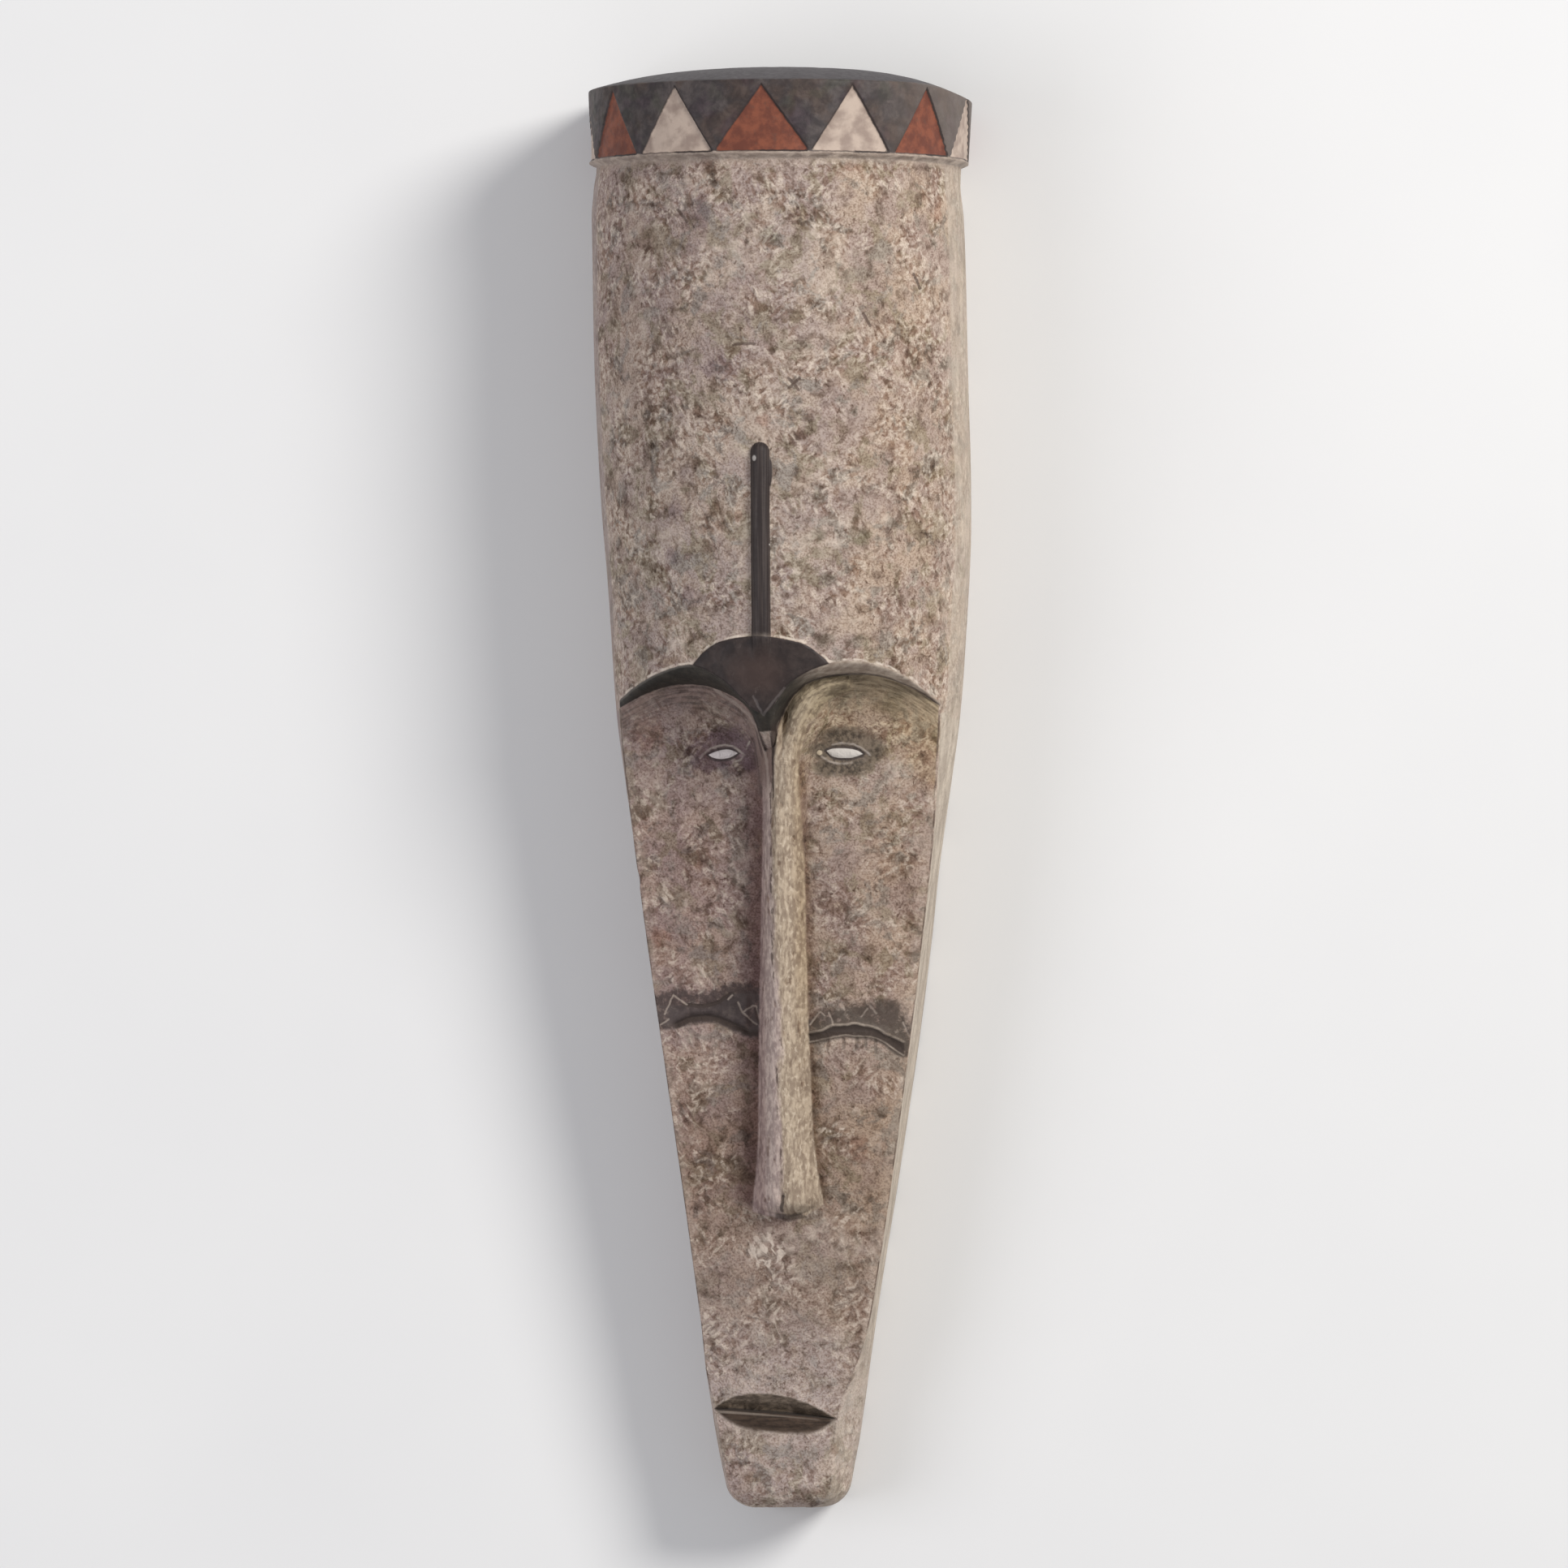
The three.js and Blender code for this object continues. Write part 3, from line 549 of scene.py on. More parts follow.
def fan_inside(x, y):
    """Signed distance into the fan over the brow, positive inside."""
    top = across_slope(fan_top(x) - y, fan_top, x)
    sides = np.minimum(x - FAN_ENDS[0], FAN_ENDS[1] - x)
    return np.minimum(np.minimum(top, sides + 4), y - brow_upper(x) + 0.5)


def blend_max(a, b, reach):
    """The larger of two depths, with a fillet where they meet."""
    near = np.clip(1 - np.abs(a - b) / reach, 0, 1)
    return np.maximum(a, b) + near * near * reach / 4


# The mesh's rows run between guide lines across the mask, so that an edge falls on a row
GUIDES = (
    CHIN_FOOT, CHIN_FOOT + CHIN_ROUND, lambda x: mouth_line(x) - 0.4, lambda x: mouth_line(x) + 0.4,
    175, 195, 275, 325, 450, brow_lower, brow_upper, 560,
    BAND_BOTTOM + 0.8, BAND_BOTTOM + 2.8, CROWN_EDGE - 1.5, CROWN_EDGE,
)
GUIDE_ROWS = (12, 34, 3, 90, 28, 56, 70, 96, 60, 16, 52, 196, 4, 44, 3)
CHIN, LEDGE, BAND_STEP, BAND_ROUND = 0, 9, 12, 14
COLUMNS = {"side": 40, "cheek": 88, "ridge": 44, "rim": 5, "hollow": 46}

# The rings that close the chin and the dome, as shares of their first loops, round a middle point
CHIN_RINGS = (0.1, 0.3, 0.5, 0.7, 0.88)
DOME_RINGS = (0.97, 0.92, 0.85, 0.76, 0.66, 0.55, 0.44, 0.33, 0.22, 0.12)
CHIN_CENTRE = (3.8, 24)
DOME_CENTRE = (0, 56)


def row_places():
    """For each row, its guide number and its share of the way to the next one."""
    number = np.repeat(np.arange(len(GUIDE_ROWS)), GUIDE_ROWS)
    share = np.concatenate([np.arange(n) / n for n in GUIDE_ROWS])
    share = np.where(number == CHIN, 1 - np.cos(share * math.pi / 2), share)
    return np.append(number, len(GUIDE_ROWS) - 1), np.append(share, 1.0)


def heights(number, share, x):
    """Heights of the rows at each place across, between the guide lines on either side."""
    lines = np.array([guide(x) if callable(guide) else np.full_like(x, guide) for guide in GUIDES])
    row, column = np.indices(x.shape)
    low = lines[number[:, None], row, column]
    high = lines[number[:, None] + 1, row, column]
    return lerp(low, high, share[:, None])


def band_proud(number, share):
    proud = np.where(number > BAND_STEP, BAND_PROUD, 0.0)
    proud = np.where(number == BAND_STEP, BAND_PROUD * share, proud)
    worn = BAND_PROUD - 1.5 * (1 - np.sqrt(1 - np.clip(share, 0, 1) ** 2))
    return np.where(number == BAND_ROUND, worn, proud)


def front_grid(number, share):
    """Places of the front's points between the creases, and their angles round the drum."""
    start = heights(number, share, np.zeros((len(number), 1)))
    y = np.repeat(start, 2 * COLUMNS["cheek"] + COLUMNS["ridge"] + 1, axis=1)
    for _ in range(3):
        out = crease_out(y) / math.sin(CREASE_ANGLE)
        middle = axis_x(y) + crease_shift(y)
        angle = column_angles(y, out, middle)
        x = middle + out * np.sin(angle)
        y = heights(number, share, x)
    return x, y, angle


def column_angles(y, out, middle):
    """Angles of the columns round the drum, closer together over the nose and the bar."""
    cheek, ridge = COLUMNS["cheek"], COLUMNS["ridge"]
    limit = math.sin(CREASE_ANGLE) * 0.6
    left = np.arcsin(np.clip((ridge_x(y) - ridge_half(y) - middle) / out, -limit, limit))
    right = np.arcsin(np.clip((ridge_x(y) + ridge_half(y) - middle) / out, -limit, limit))
    u = np.linspace(0, 1, cheek + 1)
    w = (1 - np.cos(np.linspace(0, math.pi, ridge + 1))) / 2
    w = lerp(np.linspace(0, 1, ridge + 1), w, 0.6)
    return np.concatenate([
        lerp(-CREASE_ANGLE, left[:, :cheek], u[:-1]),
        lerp(left[:, cheek : cheek + ridge], right[:, cheek : cheek + ridge], w[:-1]),
        lerp(right[:, cheek + ridge :], CREASE_ANGLE, u),
    ], axis=1)


def face_with_nose(x, y):
    plain = blend_max(face_depth(x, y), nose_depth(x, y), 2.5)
    return blend_max(plain, roll_depth(x, y), 3)


def front_surface(number, share, x, y, angle):
    """Depth over the front: the drum above the brow, the ledge, and the face below it."""
    drum = front_depth(y, angle) + bar_rise(x, y)
    drum = drum + FAN_PROUD * smoothstep(fan_inside(x, y), -0.9, 0.7)
    face = face_with_nose(x, y)
    kind, along = number[:, None], share[:, None]
    lower, upper = brow_lower(x), brow_upper(x)
    foot = face_with_nose(x, lower)
    head = np.maximum(front_depth(upper, angle), foot + 1)
    ledge = lerp(foot, head, np.sin(along * math.pi / 2) ** 0.9)
    face = face + mouth_relief(x, y) + cheek_relief(x, y) + eye_relief(x, y) + nose_relief(x, y)
    edge = np.abs(np.abs(angle) - CREASE_ANGLE) < 1e-6
    face = face - 0.9 * edge * (y > 60)
    depth = np.where(kind > LEDGE, drum, np.where(kind == LEDGE, ledge, face))
    depth = depth - 0.5 * groove(path_distance(x, y, BROW_POINT), 0.7)
    return depth - 0.5 * groove(path_distance(x, y, SCRATCHES), 0.8)


def mouth_relief(x, y):
    upper, lower = mouth_open(x)
    line = mouth_line(x)
    up = (y - line) / (MOUTH["rise"] * np.maximum(upper, 0) + 0.01)
    down = (line - y) / (MOUTH["drop"] * np.maximum(lower, 0) + 0.01)
    cut = -6 * np.clip(upper, 0, 1) * np.clip(1 - up, 0, 1) * (y > line)
    lip = 1.8 * np.clip(lower, 0, 1) * (1 - smoothstep(down, 0.45, 1.0)) * (y <= line)
    return cut + lip


def cheek_relief(x, y):
    """Grooves and ridges of the two cheek bands, and the strokes cut over them."""
    over, under = y - left_over(x), y - left_under(x)
    held = smoothstep(x, -66, -60) * smoothstep(x, -14, -18)
    body = np.clip(np.minimum(-over, under), 0, 4) * (x < 0) * held
    left = 0.35 * body - 0.9 * groove(over, 1.1) * smoothstep(x, -58, -53) * smoothstep(x, -26, -29)
    left = left - 1.1 * groove(under, 1.3) * held
    over, under = y - right_over(x), y - right_under(x)
    held = smoothstep(x, 19, 22) * smoothstep(x, 79.5, 77)
    right = 0.9 * groove(over, 1.2) + 0.6 * groove(under, 1.1) - 0.6 * groove(under + 2.4, 1.1)
    right = right - 0.5 * groove((over + under) / 2, 1.8)
    cuts = -0.5 * groove(path_distance(x, y, CHEEK_STROKES), 0.8)
    return left + right * held + cuts - 0.5 * groove(path_distance(x, y, CHEEK_TEETH), 0.8)


def eye_inside(eye, x, y):
    """Distance below the top of an eye's white, and above its foot."""
    return eye["top"](x) - y, y - eye["low"](x)


def eye_relief(x, y):
    total = 0.7 * groove(path_distance(x, y, EYE_ARCS), 1.0)
    for eye in EYES:
        below, above = eye_inside(eye, x, y)
        inside = np.minimum(below, above)
        held = (x > eye["ends"][0] - 1.5) & (x < eye["ends"][1] + 1.5)
        white = 0.9 * smoothstep(inside, -0.2, 1.4)
        total = total + held * (white - 0.5 * groove(inside + 1.3, 0.8))
    return total + 0.9 * groove(np.hypot(x - KNOB[0], y - KNOB[1]), 1.9)


def nose_relief(x, y):
    cleft = -3 * groove(path_distance(x, y, NOSE_CLEFT), 2.0) * (y > NOSE_FOOT - 4)
    crease = -2.4 * groove(path_distance(x, y, ROOT_CREASE), 1.2) * smoothstep(y, 412, 440)
    edge = 1.2 * groove(path_distance(x, y, HOLLOW_EDGE), 1.3)
    return cleft + crease + edge


def side_grid(y_edge, proud, direction):
    """Points of one side from the back rim up to its crease."""
    t = np.linspace(0, 1, COLUMNS["side"] + 1)[None, :-1]
    y = np.repeat(y_edge[:, None], t.shape[1], axis=1)
    z = t * crease_depth(y)
    out = side_half(y, z)
    climb = smoothstep(z, widest_depth(y), crease_depth(y))
    return stand_out(y, z, direction * out, climb, proud)


def stand_out(y, z, out, climb, proud):
    """Points moved out from the drum's axis by the band's thickness."""
    up = np.maximum(z - widest_depth(y), 0)
    reach = 1 + proud[:, None] / np.hypot(out, up)
    x = axis_x(y) + crease_shift(y) * climb + out * reach
    return np.stack([x, y, z + up * (reach - 1)], axis=-1)


def cavity_roof(y):
    face = crease_depth(y) + face_crown(y) - FRONT_WALL
    drum = log_front_line(y) - FRONT_WALL
    return lerp(face, drum, smoothstep(y, *CAVITY_TURNS_ROUND))


def hollow_grid(count, left, right):
    """Points of the rim and the hollow, from the right side round to the left."""
    inner, rise = hollow_rows(count)
    y = np.clip(inner, CAVITY_FOOT, CAVITY_HEAD)
    end = np.minimum(y - CAVITY_FOOT, CAVITY_HEAD - y)
    short = np.clip(CAVITY_END_ROUND - end, 0, CAVITY_END_ROUND)
    inset = CAVITY_END_ROUND - np.sqrt(CAVITY_END_ROUND**2 - short**2)
    half = half_width(y) - rear_tuck(y) - RIM_WIDTH - inset
    outer = (right[:, 0] - left[:, 0]) / 2
    flat = 1 - np.clip(np.minimum(inner - CHIN_FOOT, CROWN_EDGE - inner) / 20, 0, 1)
    half = np.minimum(half, outer - 4) * (1 - 0.4 * flat * (inner < 100))
    arch = hollow_arch(inner, y, half, (cavity_roof(y) - inset) * rise)
    t = np.linspace(0, 1, COLUMNS["rim"] + 1)[None, :, None]
    near = lerp(right[:, None, :], arch[:, :1, :], t)[:, :-1]
    far = lerp(arch[:, -1:, :], left[:, None, :], t)[:, 1:-1]
    return np.concatenate([near, arch, far], axis=1)


def hollow_rows(count):
    """Heights of the rows inside, which bunch up at the hollow's ends, and their rise there."""
    q = np.arange(count) / (count - 1) * (CROWN_EDGE - CHIN_FOOT) + CHIN_FOOT
    wall = 8
    rise = smoothstep(q, CAVITY_FOOT - wall, CAVITY_FOOT + wall)
    rise = rise * smoothstep(q, CAVITY_HEAD + wall, CAVITY_HEAD - wall)
    turns = [CAVITY_FOOT - wall, CAVITY_FOOT + wall, CAVITY_HEAD - wall, CAVITY_HEAD + wall]
    ends = [CAVITY_FOOT, CAVITY_FOOT, CAVITY_HEAD, CAVITY_HEAD]
    return np.interp(q, [CHIN_FOOT, *turns, CROWN_EDGE], [CHIN_FOOT, *ends, CROWN_EDGE]), rise


def hollow_arch(inner, y, half, roof):
    """The hollow's rounded cross-sections, squarer in the face than in the drum."""
    power = lerp(*CAVITY_POWER, smoothstep(y, *CAVITY_TURNS_ROUND))[:, None]
    turn = np.linspace(0, math.pi, COLUMNS["hollow"] + 1)[None, :]
    cosine = np.cos(turn)
    x = axis_x(y)[:, None] + half[:, None] * np.sign(cosine) * np.abs(cosine) ** (2 / power)
    z = roof[:, None] * np.abs(np.sin(turn)) ** (2 / power)
    return np.stack([x, np.repeat(inner[:, None], x.shape[1], axis=1), z], axis=-1)


def body_grid():
    """The mask's skin as rows of closed loops."""
    number, share = row_places()
    proud = band_proud(number, share)
    x, y, angle = front_grid(number, share)
    z = front_surface(number, share, x, y, angle)
    up = np.maximum(z - widest_depth(y), 0)
    out = x - axis_x(y) - crease_shift(y)
    reach = 1 + proud[:, None] / np.hypot(out, up)
    front = np.stack([x + out * (reach - 1), y, z + up * (reach - 1)], axis=-1)
    left = side_grid(y[:, 0], proud, -1)
    right = side_grid(y[:, -1], proud, 1)[:, ::-1]
    hollow = hollow_grid(len(number), left[:, 0], right[:, -1])
    rows = np.concatenate([left, front, right[:, :-1], hollow], axis=1)
    rows[-1, :, 1] = dome_height(rows[-1, :, 0], rows[-1, :, 2], 1.0)
    behind = np.zeros(rows.shape[:2])
    behind[:, 1 - hollow.shape[1] :] = 1
    return rows, behind


def dome_height(x, z, share):
    radius = BAND_RADIUS - 1.5
    out = np.clip((x * x + (z - CROWN_AXIS) ** 2) / radius**2, 0, 1)
    return CROWN_EDGE - crown_dip(x, z) * share**4 + DOME_RISE * (1 - out**DOME_POWER)


def crown_dip(x, z):
    """How far the crown's rim is worn down at its right side, easing off across the back."""
    at_front = smoothstep(np.arctan2(x, z - CROWN_AXIS), math.pi / 4, math.pi / 2)
    reach = np.maximum(2 * (CROWN_AXIS - z), 0.1)
    at_back = np.clip((x / reach + 1) / 2, 0, 1)
    return CROWN_DIP * np.where(z < CROWN_AXIS, at_back, at_front)


def cap_rings(loop, centre, shares, height):
    """Loops shrunk towards a middle point, which closes an end of the skin."""
    rings = []
    for share in shares:
        ring = loop.copy()
        ring[:, 0] = lerp(centre[0], loop[:, 0], share)
        ring[:, 2] = lerp(centre[1], loop[:, 2], share)
        ring[:, 1] = height(ring[:, 0], ring[:, 2], share)
        rings.append(ring)
    return rings


def make_skin():
    """All points of the mask and its faces, closed at the chin and at the dome."""
    rows, behind = body_grid()
    rows[..., 1] -= crown_wear(rows)
    bottom = cap_rings(rows[0], CHIN_CENTRE, CHIN_RINGS, lambda x, z, share: CHIN_FOOT)
    top = cap_rings(rows[-1], DOME_CENTRE, DOME_RINGS, dome_height)
    loops = np.array([*bottom, *rows, *top])
    hollow = np.zeros(loops.shape[:2])
    hollow[len(bottom) : len(bottom) + len(rows)] = behind
    ends = np.array([loops[0].mean(0), loops[-1].mean(0)])
    points = np.concatenate([loops.reshape(-1, 3), ends])
    return points, *skin_faces(*hollow.shape), np.append(hollow.ravel(), [0, 0])


def skin_faces(count, size):
    """Four-sided faces between the loops, and a fan of triangles at each end."""
    i = np.arange(size)
    j = (i + 1) % size
    base = (np.arange(count - 1) * size)[:, None]
    quads = np.stack([base + i, base + j, base + j + size, base + i + size], axis=-1).reshape(-1, 4)
    last = (count - 1) * size
    first_fan = np.stack([np.full(size, count * size), j, i], axis=-1)
    last_fan = np.stack([np.full(size, count * size + 1), last + i, last + j], axis=-1)
    return quads, np.concatenate([first_fan, last_fan])


def crown_wear(rows):
    """How far each point of the band moves down with the worn rim."""
    held = np.clip((rows[..., 1] - BAND_WORN_FROM) / (CROWN_EDGE - BAND_WORN_FROM), 0, 1)
    held[-1] = 0
    return crown_dip(rows[..., 0], rows[..., 2]) * held


def build_mesh(name, points, quads, triangles):
    mesh = bpy.data.meshes.new(name)
    mesh.from_pydata(points.tolist(), [], quads.tolist() + triangles.tolist())
    mesh.validate()
    mesh.polygons.foreach_set("use_smooth", np.ones(len(mesh.polygons), bool))
    mesh.update()
    return mesh


def hashed(cell, seed):
    """A pseudo-random 30-bit number for each whole-number cell."""
    mixed = cell[..., 0] * 73856093 ^ cell[..., 1] * 19349663 ^ cell[..., 2] * 83492791
    mixed = (mixed + seed * 668265263) & 0xFFFFFFFF
    mixed = ((mixed ^ (mixed >> 15)) * 2246822519) & 0xFFFFFFFF
    mixed = ((mixed ^ (mixed >> 13)) * 3266489917) & 0xFFFFFFFF
    return (mixed ^ (mixed >> 16)) & 0x3FFFFFFF


def grain(points, size, seed):
    """Smooth noise from about -1 to 1 with lumps of the given size, one number or three."""
    place = points / np.asarray(size, float)
    cell = np.floor(place).astype(np.int64)
    part = place - cell
    fade = part**3 * (part * (6 * part - 15) + 10)
    total = np.zeros(len(points))
    for corner in np.ndindex(2, 2, 2):
        code = hashed(cell + corner, seed)
        push = np.stack([code & 1023, (code >> 10) & 1023, code >> 20], axis=-1) / 511.5 - 1
        weight = np.prod(np.where(np.array(corner), fade, 1 - fade), axis=-1)
        total += weight * np.sum(push * (part - corner), axis=-1)
    return total * 1.4


def cells(points, size, seed):
    """Distance to the nearest scattered point, and that point's own random number."""
    place = points / np.asarray(size, float)
    cell = np.floor(place).astype(np.int64)
    nearest = np.full(len(points), 9.0)
    own = np.zeros(len(points))
    for step in np.ndindex(3, 3, 3):
        other = cell + np.array(step) - 1
        code = hashed(other, seed)
        spot = other + np.stack([code & 1023, (code >> 10) & 1023, code >> 20], axis=-1) / 1023
        away = np.linalg.norm(place - spot, axis=-1)
        closer = away < nearest
        nearest = np.where(closer, away, nearest)
        own = np.where(closer, (code % 997) / 997, own)
    return nearest, own


def triangle_inside(points):
    """Signed distance into the nearest cut triangle of the crown band, and its number."""
    x, y, z = points.T
    turn = np.arctan2(x, z - CROWN_AXIS)
    behind = np.sign(x) * (math.pi / 2 + (CROWN_AXIS - z) / BAND_RADIUS)
    turn = np.where(z < CROWN_AXIS, behind, turn)
    number = np.clip(np.round(turn / TRIANGLE_PITCH), -4, 4)
    half = np.where(number == 0, MIDDLE_TRIANGLE_HALF, TRIANGLE_HALF) * BAND_RADIUS
    tall = TRIANGLE_TOP - TRIANGLE_FOOT
    across = (turn - number * TRIANGLE_PITCH) * BAND_RADIUS
    slant = 1 / np.sqrt(1 + (half / tall) ** 2)
    sides = (half * (1 - (y - TRIANGLE_FOOT) / tall) - np.abs(across)) * slant
    return np.minimum(sides, y - TRIANGLE_FOOT), number, np.sign(across)


def nose_inside(x, y):
    """Signed distance into the nose's footprint, positive inside."""
    side = nose_half(y) * 1.02 - np.abs(x - nose_x(y))
    above_end = y - nose_end(x, y, nose_half(y)) + 1
    return np.minimum(np.minimum(side, above_end), 486 - y)


def crust_share(points, hollow):
    """How thickly the crust lies: it stays off the nose, mouldings, eyes, mouth, bands and back."""
    x, y = points[:, 0], points[:, 1]
    share = 1 - hollow
    share = share * smoothstep(-nose_inside(x, y), -1, 2)
    share = share * smoothstep(-roll_inside(x, y), -1, 2)
    brow = np.minimum(y - brow_lower(x), brow_upper(x) - y)
    for dark in (brow, bar_inside(x, y), fan_inside(x, y)):
        share = share * smoothstep(-dark, -0.3, 1.5)
    share = share * smoothstep(BAND_BOTTOM - y, -1, 4)
    for eye in EYES:
        share = share * smoothstep(np.hypot((x - eye["x"]) / 17, (y - eye["y"]) / 9), 0.75, 1.2)
    share = share * smoothstep(-mouth_inside(x, y), -0.5, 2)
    share = share * smoothstep(-cheek_inside(x, y), -1, 3)
    return share * smoothstep(beyond_crease(x, y), 0.5, -0.5) ** (y < 500)


def beyond_crease(x, y):
    """Distance out from the crease between the face and the side."""
    return np.abs(x - axis_x(y) - crease_shift(y)) - crease_out(y)


def bar_inside(x, y):
    over = np.maximum(y - (BAR["top"] - BAR["half"]), 0)
    bar = BAR["half"] + 0.3 - np.hypot(x - BAR["x"], over)
    bump = 1.6 * (1 - np.hypot((x - BAR["x"] - BAR["half"]) / 2.0, (y - BAR["bump"]) / 9.5))
    return np.where(y > brow_upper(x) + 8, np.maximum(bar, bump), -FAR)


def roll_inside(x, y):
    inside = np.full(x.shape, -FAR)
    near = near_roll(x, y)
    across, along, place, length = along_roll(x[near], y[near])
    held = (along > -10) & (along < length + 4)
    inside[near] = np.where(held, roll_half(place) + 0.5 - np.abs(across), -FAR)
    return inside


def cheek_inside(x, y):
    """Distance into the two smooth cheek bands."""
    left = np.minimum(left_over(x) - y, y - left_foot(x))
    left = np.minimum(left, np.minimum(x + 70, -12 - x))
    right = np.minimum(right_over(x) + 3 - y, y - right_under(x) + 2)
    return np.maximum(left, np.minimum(right, np.minimum(x - 20, 80 - x)))


def mouth_inside(x, y):
    upper, lower = mouth_open(x)
    line = mouth_line(x)
    above = MOUTH["rise"] * np.maximum(upper, -0.3) - (y - line)
    below = MOUTH["drop"] * np.maximum(lower, -0.3) - (line - y)
    lean = 1 + 0.3 * np.abs((x - MOUTH["x"]) / MOUTH["half"])
    return np.minimum(above, below) / lean


def strokes(points, width, length, seed):
    """Short strokes from about -1 to 1, lying another way from patch to patch."""
    x, y, z = points.T
    total = np.zeros(len(points))
    weights = np.zeros(len(points))
    for turn in range(4):
        angle = math.pi * (turn / 4 + 0.06)
        across = x * math.cos(angle) + y * math.sin(angle)
        along = y * math.cos(angle) - x * math.sin(angle)
        turned = np.stack([across, along, z], axis=-1)
        weight = np.clip(grain(points, 14, seed + turn) + 0.3, 0.03, 1) ** 2
        total += weight * grain(turned, (width, length, width * 2), seed + turn + 10)
        weights += weight
    return total / weights


def plates(points, size, seed):
    """Flat flakes with bent outlines, each at a height of its own from -1 to 1."""
    bend = np.stack([grain(points, size * 0.8, seed + k) for k in (1, 2, 3)], axis=-1)
    away, own = cells(points + bend * size * 0.45, size, seed)
    return (own * 2 - 1) * smoothstep(away, 0.75, 0.5)


def crust_height(points):
    """Lumps, short strokes and flat flakes of the crust, in millimetres."""
    broad = grain(points, 30, 11) * 0.3
    lumps = grain(points, 9, 12) * 0.2
    short = strokes(points, 2.8, 6.5, 40) * 0.42
    flakes = plates(points, 8.5, 70) * 0.2 + plates(points, 4.8, 80) * 0.16
    calm = 1 - 0.7 * smoothstep(grain(points, 34, 16), 0.15, 0.5)
    calm = calm * lerp(0.8, 1, smoothstep(points[:, 1], 400, 520))
    return broad + (lumps + short + flakes) * calm - 0.3


def wood_height(points):
    """Adze marks of the hollow, in millimetres."""
    dents, _ = cells(points, (15, 34, 15), 21)
    return 0.9 * np.clip(dents, 0, 0.9) ** 2


def bark(points):
    """Streaks and short pits along the nose, in millimetres."""
    streaks = 0.25 * grain(points, (2.6, 16, 9), 31) + 0.3 * grain(points, (2.4, 6, 5), 32)
    pits = -0.5 * smoothstep(grain(points, (3, 8, 5), 34), 0.42, 0.6)
    return streaks + pits + 0.4 * grain(points, (14, 30, 14), 35)


def carve(points, normals, hollow):
    """Points with the crust, grain, cut triangles and tool marks worked into them."""
    x, y, z = points.T
    share = crust_share(points, hollow)
    side = smoothstep(np.abs(x - axis_x(y)) / half_width(y), 0.87, 0.96)
    rise = share * (1 - 0.8 * side) * crust_height(points)
    cream = np.maximum(nose_inside(x, y), roll_inside(x, y))
    nose = smoothstep(cream, -1, 2) * (z > crease_depth(y) - 4) * (y < brow_lower(x) - 0.5)
    rise = rise + nose * bark(points)
    plain = (1 - share) * (1 - hollow) * (1 - nose)
    rise = rise + plain * (0.14 * grain(points, (7, 12, 7), 33) + 0.12 * grain(points, 22, 36))
    inside, _, _ = triangle_inside(points)
    on_band = (y > BAND_BOTTOM + 1) & (y < CROWN_EDGE - 1) & (hollow < 0.5)
    rise = rise - TRIANGLE_DEPTH * smoothstep(inside, -0.7, 0.7) * on_band
    for dent_x, dent_y, size, depth in DENTS:
        away = np.hypot(x - dent_x, y - dent_y) / size
        near_crease = smoothstep(z, crease_depth(y) - 9, crease_depth(y) - 2)
        rise = rise - depth * groove(away, 1) * near_crease
    deep = smoothstep(z, 0, 12) * smoothstep(hollow, 0.4, 0.6)
    rise = rise + deep * wood_height(points)
    rise = rise * smoothstep(z, -0.1, 2)
    return points + normals * rise[:, None], rise


def thin_out(mesh, target):
    """The mesh with its flattest triangles merged, down to a number of triangles."""
    ob = bpy.data.objects.new("thinning", mesh)
    bpy.context.scene.collection.objects.link(ob)
    mesh.calc_loop_triangles()
    modifier = ob.modifiers.new("thin", "DECIMATE")
    modifier.ratio = target / len(mesh.loop_triangles)
    modifier.use_collapse_triangulate = True
    graph = bpy.context.evaluated_depsgraph_get()
    thinned = bpy.data.meshes.new_from_object(ob.evaluated_get(graph))
    bpy.data.objects.remove(ob)
    return thinned


def vertex_array(mesh, field="co"):
    values = np.empty(len(mesh.vertices) * 3)
    source = mesh.vertices if field == "co" else mesh.vertex_normals
    source.foreach_get("co" if field == "co" else "vector", values)
    return values.reshape(-1, 3)


def mark(mesh, name, values):
    attribute = mesh.attributes.new(name, "FLOAT", "POINT")
    attribute.data.foreach_set("value", np.asarray(values, np.float32))


def read_mark(mesh, name):
    values = np.empty(len(mesh.vertices), np.float32)
    mesh.attributes[name].data.foreach_get("value", values)
    return values


def stain_share(x, y, stains):
    """One in the middle of each oval stain, falling to nought past its edge."""
    best = np.zeros(len(x))
    for middle_x, middle_y, half_x, half_y in stains:
        away = np.hypot((x - middle_x) / half_x, (y - middle_y) / half_y)
        best = np.maximum(best, 1 - smoothstep(away, 0.2, 1.5))
    return best


def brow_marks(x, y):
    return {
        "brow_low": (across_slope(y - brow_lower(x), brow_lower, x), -FAR),
        "top_edge": (across_slope(top_edge(x) - y, top_edge, x), -FAR),
        "fan": (fan_inside(x, y), -FAR),
        "bar": (bar_inside(x, y), -FAR),
    }


